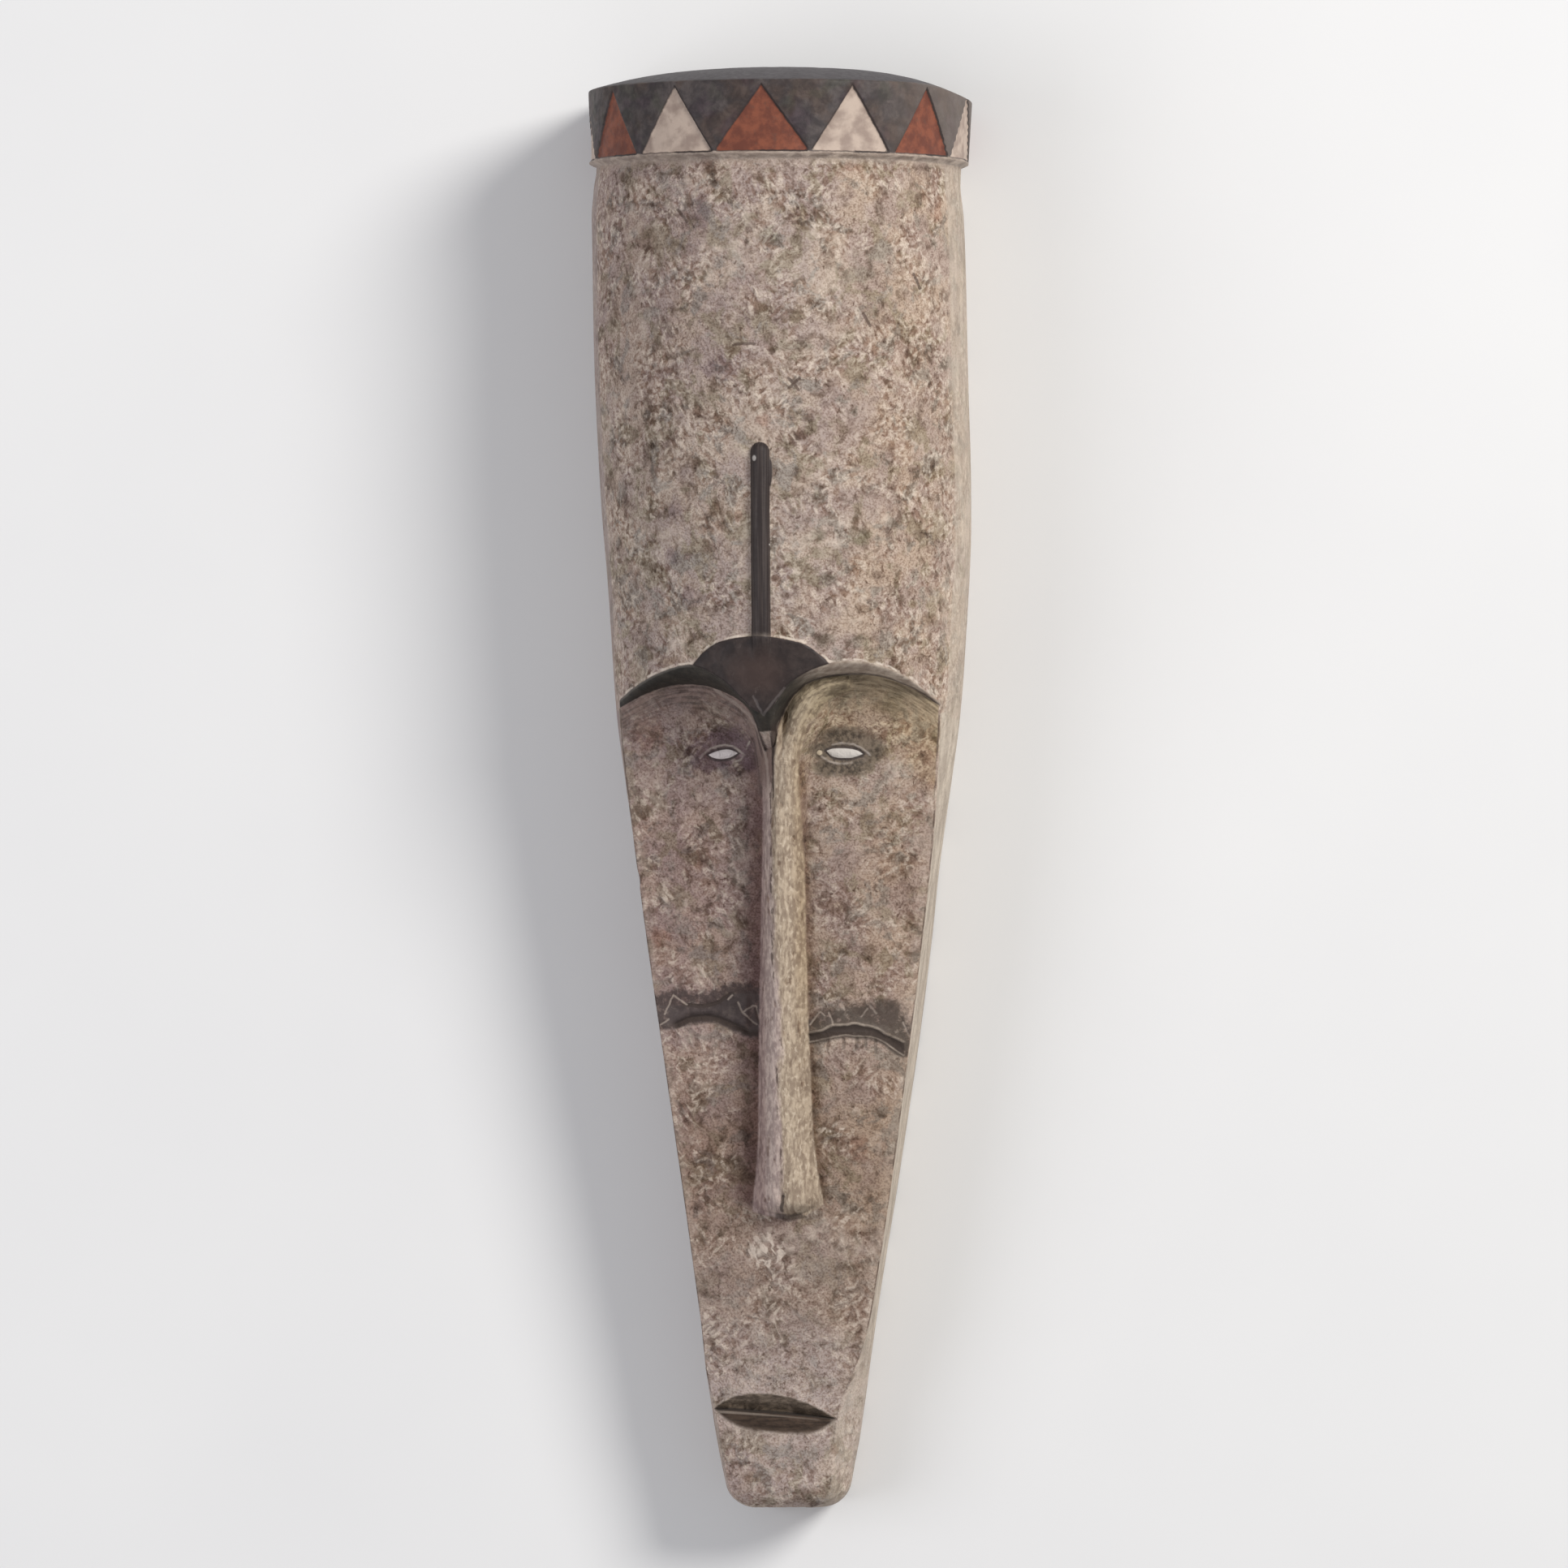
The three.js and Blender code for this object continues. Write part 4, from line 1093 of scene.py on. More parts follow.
def nose_marks(x, y):
    """Where the nose is, the place across and along it, and the distance out from its sides."""
    nose = np.maximum(nose_inside(x, y), roll_inside(x, y))
    across, along = x - 10, y - 400
    near = near_roll(x, y) & (y > 400)
    across[near], along[near], _, _ = along_roll(x[near], y[near])
    edge = np.abs(x - nose_x(y)) - nose_half(y)
    held = smoothstep(y, NOSE_FOOT - 12, NOSE_FOOT + 10) * smoothstep(y, 482, 455)
    past = NOSE_REACH * (1 - held)
    return {
        "nose": (np.where(y < brow_lower(x) + 0.5, nose, -FAR), -FAR),
        "nose_across": (across, LINE_REACH),
        "nose_along": (along, 0),
        "beside_left": (np.where(x < nose_x(y), edge, NOSE_REACH) + past, NOSE_REACH),
        "beside_right": (np.where(x > nose_x(y), edge, NOSE_REACH) + past, NOSE_REACH),
    }


def eye_marks(x, y):
    marks = {}
    for name, eye in zip(("left", "right"), EYES):
        below, above = eye_inside(eye, x, y)
        beyond = np.maximum(eye["ends"][0] - x, x - eye["ends"][1])
        marks["eye_below_" + name] = (below - np.maximum(beyond, 0), -FAR)
        marks["eye_above_" + name] = (above - np.maximum(beyond, 0), -FAR)
    return marks


def line_marks(x, y):
    """Heights over the lines of the cheek bands and of the mouth."""
    lines = {
        "left_over": left_over, "left_under": left_under, "left_foot": left_foot,
        "left_head": left_head, "right_over": right_over, "right_under": right_under,
        "right_head": right_head,
    }
    marks = {name: (across_slope(y - line(x), line, x), LINE_REACH) for name, line in lines.items()}
    return {**marks, "mouth_line": (y - mouth_line(x), LINE_REACH)}


def paint_marks(mesh, points):
    """Signed distances in millimetres, positive inside, that tell the paint where it goes."""
    x, y, z = points.T
    hollow = read_mark(mesh, "hollow")
    front = (z > crease_depth(y) - 5) & (hollow < 0.5)
    marks = {**brow_marks(x, y), **nose_marks(x, y), **eye_marks(x, y), **line_marks(x, y)}
    marks["mouth"] = (mouth_inside(x, y), -FAR)
    for name, stains in STAINS.items():
        marks[name] = (stain_share(x, y, stains), 0)
    for name, (values, elsewhere) in marks.items():
        mark(mesh, name, np.where(front, values, elsewhere))
    mark(mesh, "brow_high", across_slope(brow_upper(x) - y, brow_upper, x))
    inside, number, hand = triangle_inside(points)
    on_band = (y > BAND_BOTTOM - 2) & (hollow < 0.5)
    mark(mesh, "triangle", np.where(on_band, inside, -FAR))
    mark(mesh, "triangle_red", np.where(number % 2 == 0, 1, 0))
    mark(mesh, "triangle_hand", hand)
    past_crease = np.maximum(beyond_crease(x, y), crease_depth(y) - 2 - z)
    mark(mesh, "side", past_crease * (1 - hollow))


def make_mask():
    points, quads, triangles, hollow = make_skin()
    mesh = build_mesh("dense", points, quads, triangles)
    carved, rise = carve(vertex_array(mesh), vertex_array(mesh, "normal"), hollow)
    mesh.vertices.foreach_set("co", carved.ravel())
    mark(mesh, "rise", rise)
    mark(mesh, "hollow", hollow)
    mesh.update()
    mesh = thin_out(mesh, TRIANGLE_LIMIT)
    mesh.name = "carved_mask"
    low, high = (np.array(corner) / MM + [0, DATUM, 0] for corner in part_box("mask"))
    points = np.clip(vertex_array(mesh), low, high)
    paint_marks(mesh, points)
    placed = (points - [0, DATUM, 0]) * MM
    mesh.vertices.foreach_set("co", placed.ravel())
    mesh.update()
    ob = bpy.data.objects.new("carved_mask", mesh)
    bpy.context.scene.collection.objects.link(ob)
    return ob


class Value:
    """A number, place or colour that a node gives; arithmetic with it adds more nodes."""

    def __init__(self, paint, socket):
        self.paint = paint
        self.socket = socket

    def __add__(self, other):
        return self.paint.math("ADD", self, other)

    def __sub__(self, other):
        return self.paint.math("SUBTRACT", self, other)

    def __rsub__(self, other):
        return self.paint.math("SUBTRACT", other, self)

    def __mul__(self, other):
        return self.paint.math("MULTIPLY", self, other)

    def __neg__(self):
        return self * -1

    def __abs__(self):
        return self.paint.math("ABSOLUTE", self)


class Paint:
    """Short names for the nodes of one material; paints are hex strings."""

    def __init__(self, name):
        self.material = bpy.data.materials.new(name)
        self.material.use_nodes = True
        self.tree = self.material.node_tree
        self.shader = self.tree.nodes["Principled BSDF"]
        self.place = self.value(self.node("ShaderNodeTexCoord"), "Object")
        self.marks = {}

    def node(self, kind, **settings):
        made = self.tree.nodes.new(kind)
        for key, value in settings.items():
            setattr(made, key, value)
        return made

    def value(self, node, output=0):
        return Value(self, node.outputs[output])

    def feed(self, value, socket):
        if isinstance(value, Value):
            self.tree.links.new(value.socket, socket)
        else:
            socket.default_value = srgb(value) if isinstance(value, str) else value

    def math(self, operation, a, b=0.0, clamp=False):
        made = self.node("ShaderNodeMath", operation=operation, use_clamp=clamp)
        self.feed(a, made.inputs[0])
        self.feed(b, made.inputs[1])
        return self.value(made)

    def vector(self, operation, a, b=None, scale=None):
        made = self.node("ShaderNodeVectorMath", operation=operation)
        self.feed(a, made.inputs[0])
        if b is not None:
            self.feed(b, made.inputs[1])
        if scale is not None:
            self.feed(scale, made.inputs["Scale"])
        number = operation in ("DOT_PRODUCT", "DISTANCE")
        return self.value(made, "Value" if number else "Vector")

    def join(self, x, y):
        """A place from its parts across and up."""
        made = self.node("ShaderNodeCombineXYZ")
        self.feed(x, made.inputs[0])
        self.feed(y, made.inputs[1])
        return self.value(made)

    def most(self, *values):
        return reduce(lambda a, b: self.math("MAXIMUM", a, b), values)

    def least(self, *values):
        return reduce(lambda a, b: self.math("MINIMUM", a, b), values)

    def ramp(self, value, low, high, to_low=0.0, to_high=1.0):
        """Smooth change of a value from one range to another."""
        made = self.node("ShaderNodeMapRange", interpolation_type="SMOOTHSTEP")
        for number, item in enumerate((value, low, high, to_low, to_high)):
            self.feed(item, made.inputs[number])
        return self.value(made)

    def within(self, value, low, high, soft):
        """One between two limits, with soft ends outside them."""
        return self.ramp(value, low - soft, low) * self.ramp(value, high, high + soft, 1.0, 0.0)

    def thin(self, value, half, soft):
        """One along a thin line where a value is nought."""
        return self.ramp(abs(value), half, half + soft, 1.0, 0.0)

    def mix(self, share, a, b, way="MIX"):
        made = self.node("ShaderNodeMix", data_type="RGBA", blend_type=way)
        self.feed(share, made.inputs["Factor"])
        self.feed(a, made.inputs[6])
        self.feed(b, made.inputs[7])
        return self.value(made, 2)

    def tint(self, share, colour, by):
        """A colour multiplied by another, where a share says so."""
        return self.mix(share, colour, by, "MULTIPLY")

    def __getitem__(self, name):
        """A mark laid on the mesh."""
        if name not in self.marks:
            made = self.node("ShaderNodeAttribute", attribute_name=name)
            self.marks[name] = self.value(made, "Fac")
        return self.marks[name]

    def spread(self, size, shift=0.0, detail=2.0, rough=0.5, swirl=0.0, turn=0.0, place=None):
        """Noise from 0 to 1 with lumps of a size in millimetres."""
        unit = 1 if place else MM
        scaled = self.node("ShaderNodeMapping", vector_type="TEXTURE")
        self.feed(place or self.place, scaled.inputs["Vector"])
        scaled.inputs["Scale"].default_value = np.multiply(size, np.ones(3)) * unit
        scaled.inputs["Rotation"].default_value = (0, 0, turn)
        scaled.inputs["Location"].default_value = np.array([31, 17, 23]) * shift * unit
        made = self.node("ShaderNodeTexNoise")
        self.feed(self.value(scaled), made.inputs["Vector"])
        settings = {"Scale": 1.0, "Detail": detail, "Roughness": rough, "Distortion": swirl}
        for name, setting in settings.items():
            made.inputs[name].default_value = setting
        return self.value(made, "Fac")

    def measure(self):
        """Sets the place across and up the mask in millimetres, and both laid flat."""
        split = self.node("ShaderNodeSeparateXYZ")
        self.feed(self.place, split.inputs[0])
        self.x = self.value(split, 0) * (1 / MM)
        self.y = self.value(split, 1) * (1 / MM) + DATUM
        shake_x = (self.spread(3.5, 4.1) - 0.5) * 1.4
        shake_y = (self.spread(3.5, 8.3) - 0.5) * 1.4
        self.flat = self.join(self.x + shake_x, self.y + shake_y)

    def away_from(self, paths):
        """Distance in millimetres to the nearest of some runs of points."""
        runs = [run for path in paths for run in zip(path, path[1:])]
        return self.least(1e3, *[self.away_from_run(start, end) for start, end in runs])

    def away_from_run(self, start, end):
        run = np.subtract(end, start).astype(float)
        offset = self.vector("SUBTRACT", self.flat, (*start, 0))
        along = self.vector("DOT_PRODUCT", offset, (*(run / run.dot(run)), 0))
        share = self.math("ADD", along, 0.0, clamp=True)
        foot = self.vector("SCALE", (*run, 0), scale=share)
        return self.vector("DISTANCE", offset, foot)

    def oval(self, x, y, half_x, half_y):
        """Distance from a middle point, in shares of an upright oval's size."""
        across = (self.x - x) * (1 / half_x)
        up = (self.y - y) * (1 / half_y)
        return self.math("SQRT", across * across + up * up)


def crinkle(p):
    """Short strokes from 0 to 1, lying another way from patch to patch."""
    first = p.spread((2.7, 6.6, 4.0), 1.3, detail=0.7, swirl=0.4, turn=0.5)
    second = p.spread((2.7, 6.0, 4.0), 2.9, detail=0.7, swirl=0.4, turn=2.3)
    third = p.spread((3.3, 4.2, 4.0), 4.7, detail=0.9, swirl=0.6, turn=1.4)
    pick = p.ramp(p.spread(17, 6.1, detail=1), 0.44, 0.54)
    other = p.ramp(p.spread(21, 7.7, detail=1), 0.42, 0.52)
    return (1 - other) * third + other * (pick * first + (1 - pick) * second)


def crust_colour(p, lines):
    """Chipped kaolin over brown wood, mauve to the left, partly as painted shade, and olive to the
    right.
    """
    patch = p.spread(30, 5.5, detail=3, rough=0.6)
    colour = p.mix(p.ramp(patch, 0.4, 0.62), *CRUST["base"])
    olive = p.ramp(p.spread(20, 9.9, detail=4, rough=0.6, swirl=0.4), 0.52, 0.61)
    colour = p.mix(olive * 0.85, colour, CRUST["olive"])
    grey = p.ramp(p.spread(16, 3.7, detail=4, rough=0.6, swirl=0.4), 0.53, 0.62)
    colour = p.mix(grey * 0.85, colour, CRUST["grey"])
    rose = p.ramp(p.spread(19, 6.6, detail=3, rough=0.6), 0.55, 0.7)
    colour = p.mix(rose * 0.5, colour, CRUST["rose"])
    return crust_surface(p, crust_by_place(p, colour), lines)


def crust_by_place(p, colour):
    """The crust's change from side to side, with a mauve tint to the left that is partly painted
    shade, and from the drum down to the chin.
    """
    # Mauve to the left: partly the crust's own hue, partly painted shade of the side away from the
    # light
    mauve_and_shade_left = p.ramp(p.x + p.spread(50, 2.2) * 70, 90, -50)
    height = p.most(p.ramp(p.y, 470, 540, 0.8, 0.0), p.ramp(p.y, 600, 760, 0.0, 0.4))
    colour = p.tint(mauve_and_shade_left * height, colour, CRUST["left"])
    pale_chin = p.ramp(p.y, 200, 130) * p.ramp(p.y, 30, 56, 0.2, 1.0)
    colour = p.mix(pale_chin * 0.4, colour, CRUST["chin"])
    colour = p.tint(p.ramp(p.y, 470, 400) * p.ramp(p.y, 70, 140), colour, CRUST["face"])
    colour = p.tint(p.ramp(p.y, 290, 220) * p.ramp(p.y, 60, 130), colour, CRUST["low"])
    to_right = p.ramp(p.x + p.spread(50, 4.2) * 60, 40, 120)
    return p.tint(to_right * 0.8, colour, CRUST["right"])


def crust_surface(p, colour, lines):
    """Clouds, pockets and grit, pale and dark strokes that paint highlight and shade onto the
    crust's bumps, paler lumps, and painted shade in the dips.
    """
    cloud = p.ramp(p.spread(11, 1.7, detail=4, rough=0.6, swirl=0.5), 0.5, 0.68)
    colour = p.tint(cloud * 0.9, colour, CRUST["cloud"])
    # Painted highlight on the strokes' crests and painted shade in their valleys, weaker in the
    # painted shade beside the nose
    loud = p.ramp(p.spread(24, 0.7, detail=2), 0.4, 0.6, 0.2, 1.0)
    loud = loud * p.ramp(p["beside_left"], 4, 24, 0.35, 1.0) * p.ramp(p.y, 430, 500, 0.8, 1.0)
    colour = p.mix(p.ramp(lines, 0.52, 0.66) * loud * 0.5, colour, CRUST["light"])
    colour = p.tint(p.ramp(lines, 0.5, 0.36) * loud, colour, CRUST["valley"])
    pocket = p.ramp(p.spread((2.6, 3.6, 3), 8.8, detail=2, swirl=0.6), 0.58, 0.7)
    colour = p.tint(pocket * p.ramp(p.spread(16, 9.1), 0.42, 0.6) * 0.8, colour, CRUST["pit"])
    colour = p.tint(p.ramp(p.spread(1.3, 3.3, detail=1), 0.56, 0.36), colour, CRUST["grit"])
    # Paler on the raised crust, and darker in its dips as painted shade
    colour = p.mix(p.ramp(p["rise"], -0.3, 0.3) * 0.35, colour, CRUST["light"])
    return p.tint(p.ramp(p["rise"], -0.35, -1.0) * 0.8, colour, CRUST["pit"])


def stain_crust(p, colour, lines):
    """The stains measured in the photograph, with ragged edges, and painted shade beside the nose
    on both sides.
    """
    ragged = (p.spread(5, 1.9, detail=4, rough=0.65) - 0.5) * 2.2
    for name, (strength, paint) in STAIN_PAINT.items():
        share = p.ramp(p[name] + ragged * p.ramp(p[name], 0.02, 0.3), 0.1, 0.95)
        if name == "light":
            flecks = p.ramp(lines, 0.5, 0.62)
            colour = p.mix(share * flecks * strength, colour, paint)
        else:
            colour = p.tint(share * strength, colour, paint)
    # Painted shade of the nose's cast shadow: mauve to its left, brown at its right foot
    reach = p["beside_left"] + ragged * 7
    colour = p.tint(p.ramp(reach, 19, 1) * 0.9, colour, SHADE_PAINT["left"])
    reach = p["beside_right"] + ragged * 5
    return p.tint(p.ramp(reach, 9, 0) * 0.8, colour, SHADE_PAINT["right"])


def paint_arch_shade(p, colour):
    """Painted shade in the hollows under the two arches: streaked, darker crust, strongest near the
    brow and lighter to the right.
    """
    under = -p["brow_low"]
    streak = p.spread((1.6, 15, 9), 2.7, detail=3, rough=0.6, place=p.join(under, p.x))
    to_right = p.ramp(p.x, -8, 8)
    dark = p.mix(to_right, *ARCH_SHADE_PAINT["dark"])
    light = p.mix(to_right, *ARCH_SHADE_PAINT["light"])
    streaked = p.mix(p.ramp(streak, 0.36, 0.64), dark, light)
    reach = under + p.spread(9, 3.1, detail=3) * 10
    on_face = p.ramp(under, -0.5, 0.5) * p.ramp(p["side"], 0, -1)
    colour = p.tint(to_right * p.ramp(reach, 60, 40) * on_face, colour, ARCH_SHADE_PAINT["warm"])
    return p.mix(p.ramp(reach, 34, 6) * on_face * 0.8, colour, streaked)


def nose_colour(p):
    """Cream on the nose's right, with painted shade in mauve grey on its left, and streaks down its
    length.
    """
    across, along = p["nose_across"], p["nose_along"]
    place = p.join(across, along)
    streak = p.spread((2.2, 11, 6), 1.1, detail=3, swirl=0.4, place=place)
    short = p.spread((1.6, 3.6, 3), 2.9, detail=2, swirl=0.5, place=place)
    tone = p.ramp(streak * 0.6 + short * 0.4, 0.4, 0.62)
    wander = (p.spread((6, 22, 5), 7.7, place=place) - 0.5) * 9
    line = across + wander + p.ramp(along, -9, -119, 8.7, 4.4)
    cream, mauve = nose_sides(p, tone, short)
    # The mauve left is painted shade of the side turned from the light, meeting the cream along the
    # crest
    colour = p.mix(p.ramp(line, -2.4, 2.4), mauve, cream)
    broken = p.ramp(p.spread((3, 9, 3), 4.4, detail=3, rough=0.6, place=place), 0.5, 0.58)
    seam = p.thin(line + 1.0, 0.2, 1.3) * broken
    colour = p.mix(seam * 0.8, colour, NOSE_PAINT["seam"])
    # Darker in the dips of the nose's bark: painted shade
    colour = p.tint(p.ramp(p["rise"], -0.1, -0.6) * 0.7, colour, NOSE_PAINT["pits"])
    root = p.ramp(across, -7.0, -8.2) * p.ramp(p.y, 432, 455)
    colour = p.mix(root * 0.85, colour, NOSE_PAINT["root"])
    # Painted shade where the roll turns under the right arch, in the tones of the arch's painted
    # shade
    shade_under_arch = p.mix(tone, *NOSE_PAINT["shade_under_arch"])
    return p.mix(p.ramp(along, 52, 122) * 0.85, colour, shade_under_arch)


def nose_sides(p, tone, short):
    """The colours of the nose's cream right and its painted shade on the left, each with its short
    pale and dark streaks.
    """
    across, along = p["nose_across"], p["nose_along"]
    cream = p.mix(tone, *NOSE_PAINT["cream"])
    cream = p.mix(p.ramp(short, 0.58, 0.7) * 0.45, cream, NOSE_PAINT["cream_light"])
    cream = p.mix(p.ramp(short, 0.42, 0.32) * 0.3, cream, NOSE_PAINT["cream_dark"])
    edge = p.ramp(across, 2.0, 8.0) * p.ramp(along, -140, -60)
    cream = p.tint(edge * 0.5, cream, NOSE_PAINT["cream_edge"])
    mauve = p.mix(tone, *NOSE_PAINT["mauve"])
    mauve = p.mix(p.ramp(short, 0.6, 0.72) * 0.4, mauve, NOSE_PAINT["mauve_light"])
    # The far left flank darker still, as painted shade
    return cream, p.tint(p.ramp(across, -12.5, -17.0) * 0.6, mauve, NOSE_PAINT["flank"])


def plain_paint(p, pair, shift):
    """Smooth dark paint with soft clouds and a few rubbed places."""
    cloud = p.spread(9, shift, detail=4, rough=0.6, swirl=0.4)
    colour = p.mix(p.ramp(cloud, 0.35, 0.68), *pair)
    fine = p.spread((2.5, 4, 2.5), shift + 1, detail=2)
    colour = p.tint(p.ramp(fine, 0.6, 0.35, 0.0, 0.6), colour, SMOOTH_PAINT["fine"])
    rubbed = p.ramp(p.spread(7, shift + 3, detail=4, rough=0.7), 0.6, 0.76)
    return p.mix(rubbed * 0.25, colour, SMOOTH_PAINT["rubbed"])


def paint_brow(p, colour, wobble):
    """The moulding over the arches, the fan and the bar, and the lines cut under them."""
    ragged = wobble * 0.35
    outside = p.ramp(p["side"], 0.8, -0.4)
    edge = p.thin(p["top_edge"] + wobble * 0.5 + 0.9, 0.2, 0.9)
    away = p.ramp(abs(p.x + 1), 6, 9) * p.ramp(p.x, 108, 100)
    worn = p.ramp(p.spread(6, 4.9, detail=3), 0.38, 0.62)
    colour = p.mix(edge * away * worn * outside * 0.75, colour, BROW_PAINT["worn"])
    tip = p.ramp(p.y + wobble * 0.8, TIP_OF_BROW_PAINT - 0.6, TIP_OF_BROW_PAINT + 0.6)
    on_ledge = p.ramp(p.least(p["brow_low"], p["brow_high"]) + ragged, -0.4, 0.4)
    colour = p.mix(on_ledge * tip * outside, colour, ledge_colour(p, wobble, ragged))
    on_fan = p.ramp(p["fan"] + ragged, -0.3, 0.4)
    middle = p.ramp(p.oval(-4, 512, 26, 20), 1.0, 0.2)
    fan = p.mix(middle * 0.45, plain_paint(p, BROW_PAINT["fan"], 2.0), BROW_PAINT["fan_middle"])
    colour = p.mix(on_fan, colour, fan)
    point = p.ramp(p.away_from(BROW_POINT), 0.35, 1.1, 1.0, 0.0)
    colour = p.mix(point * 0.3, colour, BROW_PAINT["point"])
    on_bar = p.ramp(p["bar"] + ragged * 0.6, -0.3, 0.3) * p.ramp(p.y, 526, 538)
    colour = p.mix(on_bar, colour, bar_colour(p))
    return paint_root(p, colour), p.most(on_ledge, on_fan, on_bar)


def ledge_colour(p, wobble, ragged):
    """Dark over the left arch and pale over the right one, the pale right partly painted light,
    with a painted shadow line along the lower edge and a pale line along the upper.
    """
    left = plain_paint(p, BROW_PAINT["ledge_left"], 5.0)
    # The right ledge paler than its own paint, as painted light on a face turned away from the lamp
    right = plain_paint(p, BROW_PAINT["lit_ledge_right"], 6.0)
    ledge = p.mix(p.ramp(p.x + wobble * 3, 14, 42), left, right)
    # Painted shadow along the ledge's foot, where it meets the face
    lower_shadow_line = p.ramp(p["brow_low"] + ragged, 0.3, 1.7, 1.0, 0.0)
    ledge = p.mix(lower_shadow_line * 0.75, ledge, BROW_PAINT["lower_shadow_line"])
    upper_line = p.ramp(p["brow_high"] + ragged, 2.0, 0.6) * p.ramp(p.x, -40, -48)
    return p.mix(upper_line * 0.25, ledge, BROW_PAINT["upper_line"])


def bar_colour(p):
    """Fine dark stripes along the bar, with two pale flecks."""
    stripes = p.spread((0.9, 60, 5), 3.9, detail=2, rough=0.6)
    bar = p.mix(p.ramp(stripes, 0.38, 0.66), *BROW_PAINT["bar"])
    large = p.ramp(p.oval(-4.2, 642.5, 1.6, 2.2), 1.0, 0.5)
    flecks = p.most(large, p.ramp(p.oval(5, 590, 0.9, 0.9), 1.0, 0.4))
    return p.mix(flecks * 0.8, bar, BROW_PAINT["bar_flecks"])


def paint_root(p, colour):
    """The pale edge of the left hollow and the dark creases at the nose's root."""
    ridge = p.ramp(p.away_from(HOLLOW_EDGE), 0.5, 1.5, 1.0, 0.0)
    below = p.ramp(p["brow_low"], 0.2, -0.6)
    colour = p.mix(ridge * below * 0.55, colour, BROW_PAINT["ridge"])
    width = p.ramp(p.y, 455, 472, 1.5, 2.6)
    crease = p.ramp(p.away_from(ROOT_CREASE), 0.5, width, 1.0, 0.0)
    crease = crease * p.ramp(p.y + p.spread((4, 7, 4), 2.2) * 60, 440, 474)
    return p.mix(crease * p.ramp(p.y, 484, 476) * 0.9, colour, BROW_PAINT["crease"])


def paint_creases(p, colour, wobble):
    """The sides: smooth past the face's dark creases, and smooth at the drum's edges, darker on the
    left as painted shade and paler on the right as painted light.
    """
    grain_lines = p.spread((4, 30, 9), 1.7, detail=3, rough=0.55)
    # Right paler as painted light and left darker as painted shade
    right = p.mix(p.ramp(grain_lines, 0.35, 0.68), *SIDE_PAINT_LIT_AND_SHADED["right"])
    left = p.mix(p.ramp(grain_lines, 0.35, 0.68), *SIDE_PAINT_LIT_AND_SHADED["left"])
    plain = p.mix(p.ramp(p.x, -10, 10), left, right)
    fleck = p.ramp(p.spread(5, 5.1, detail=3, rough=0.65), 0.58, 0.7)
    plain = p.mix(fleck * 0.4, plain, SIDE_PAINT_LIT_AND_SHADED["flecks"])
    on_face = p.ramp(p["brow_high"], 2, 6)
    start = p.ramp(p["brow_high"], 2, 6, 7.5, 0.2)
    past = p["side"] + wobble * 0.5 - start
    soft = p.ramp(past, 0.0, 3.0)
    share = p.ramp(on_face, 0, 1, 0.5, 0.85) * p.ramp(p.y, 50, 130, 0.15, 1.0)
    colour = p.mix(soft * share, colour, plain)
    dark = p.thin(p["side"] + wobble * 0.2, 0.2, 0.7)
    broken = p.ramp(p.spread((6, 11, 6), 9.4, detail=3), 0.38, 0.58)
    held = dark * on_face * p.ramp(p.y, 64, 84) * broken
    return p.mix(held * 0.8, colour, SIDE_PAINT_LIT_AND_SHADED["crease"])


def paint_eyes(p, colour):
    """Painted whites with dark lids and pale scratched arcs in a smudge of soot."""
    streak = p.spread((5, 1.8, 4), 6.3, detail=3, rough=0.6, swirl=0.5)
    fine = p.spread((2.4, 3.2, 3), 7.3, detail=2, rough=0.6)
    soot = p["soot"] + (streak + fine - 1.0) * 0.8
    soot = p.ramp(soot, 0.0, 0.8) * p.ramp(p["soot"], 0.02, 0.35)
    dark = p.mix(p.ramp(fine, 0.34, 0.66), *EYE_PAINT["soot"])
    colour = p.mix(soot * 0.9, colour, dark)
    for name in ("left", "right"):
        inside = p.least(p["eye_below_" + name], p["eye_above_" + name])
        lid = p.ramp(inside, -2.3, -1.1)
        colour = p.mix(lid * 0.8, colour, EYE_PAINT["lid"])
        colour = p.mix(p.ramp(inside, -0.3, 0.3), colour, EYE_PAINT[name])
    arcs = p.ramp(p.away_from(EYE_ARCS), 0.1, 1.1, 1.0, 0.0)
    strong = p.ramp(p.spread(7, 2.3, detail=2), 0.35, 0.6, 0.35, 0.9)
    colour = p.mix(arcs * strong * 0.8, colour, EYE_PAINT["arcs"])
    knob = p.ramp(p.oval(*KNOB, 1.9, 1.9), 1.0, 0.6)
    return p.mix(knob * 0.9, colour, EYE_PAINT["knob"])


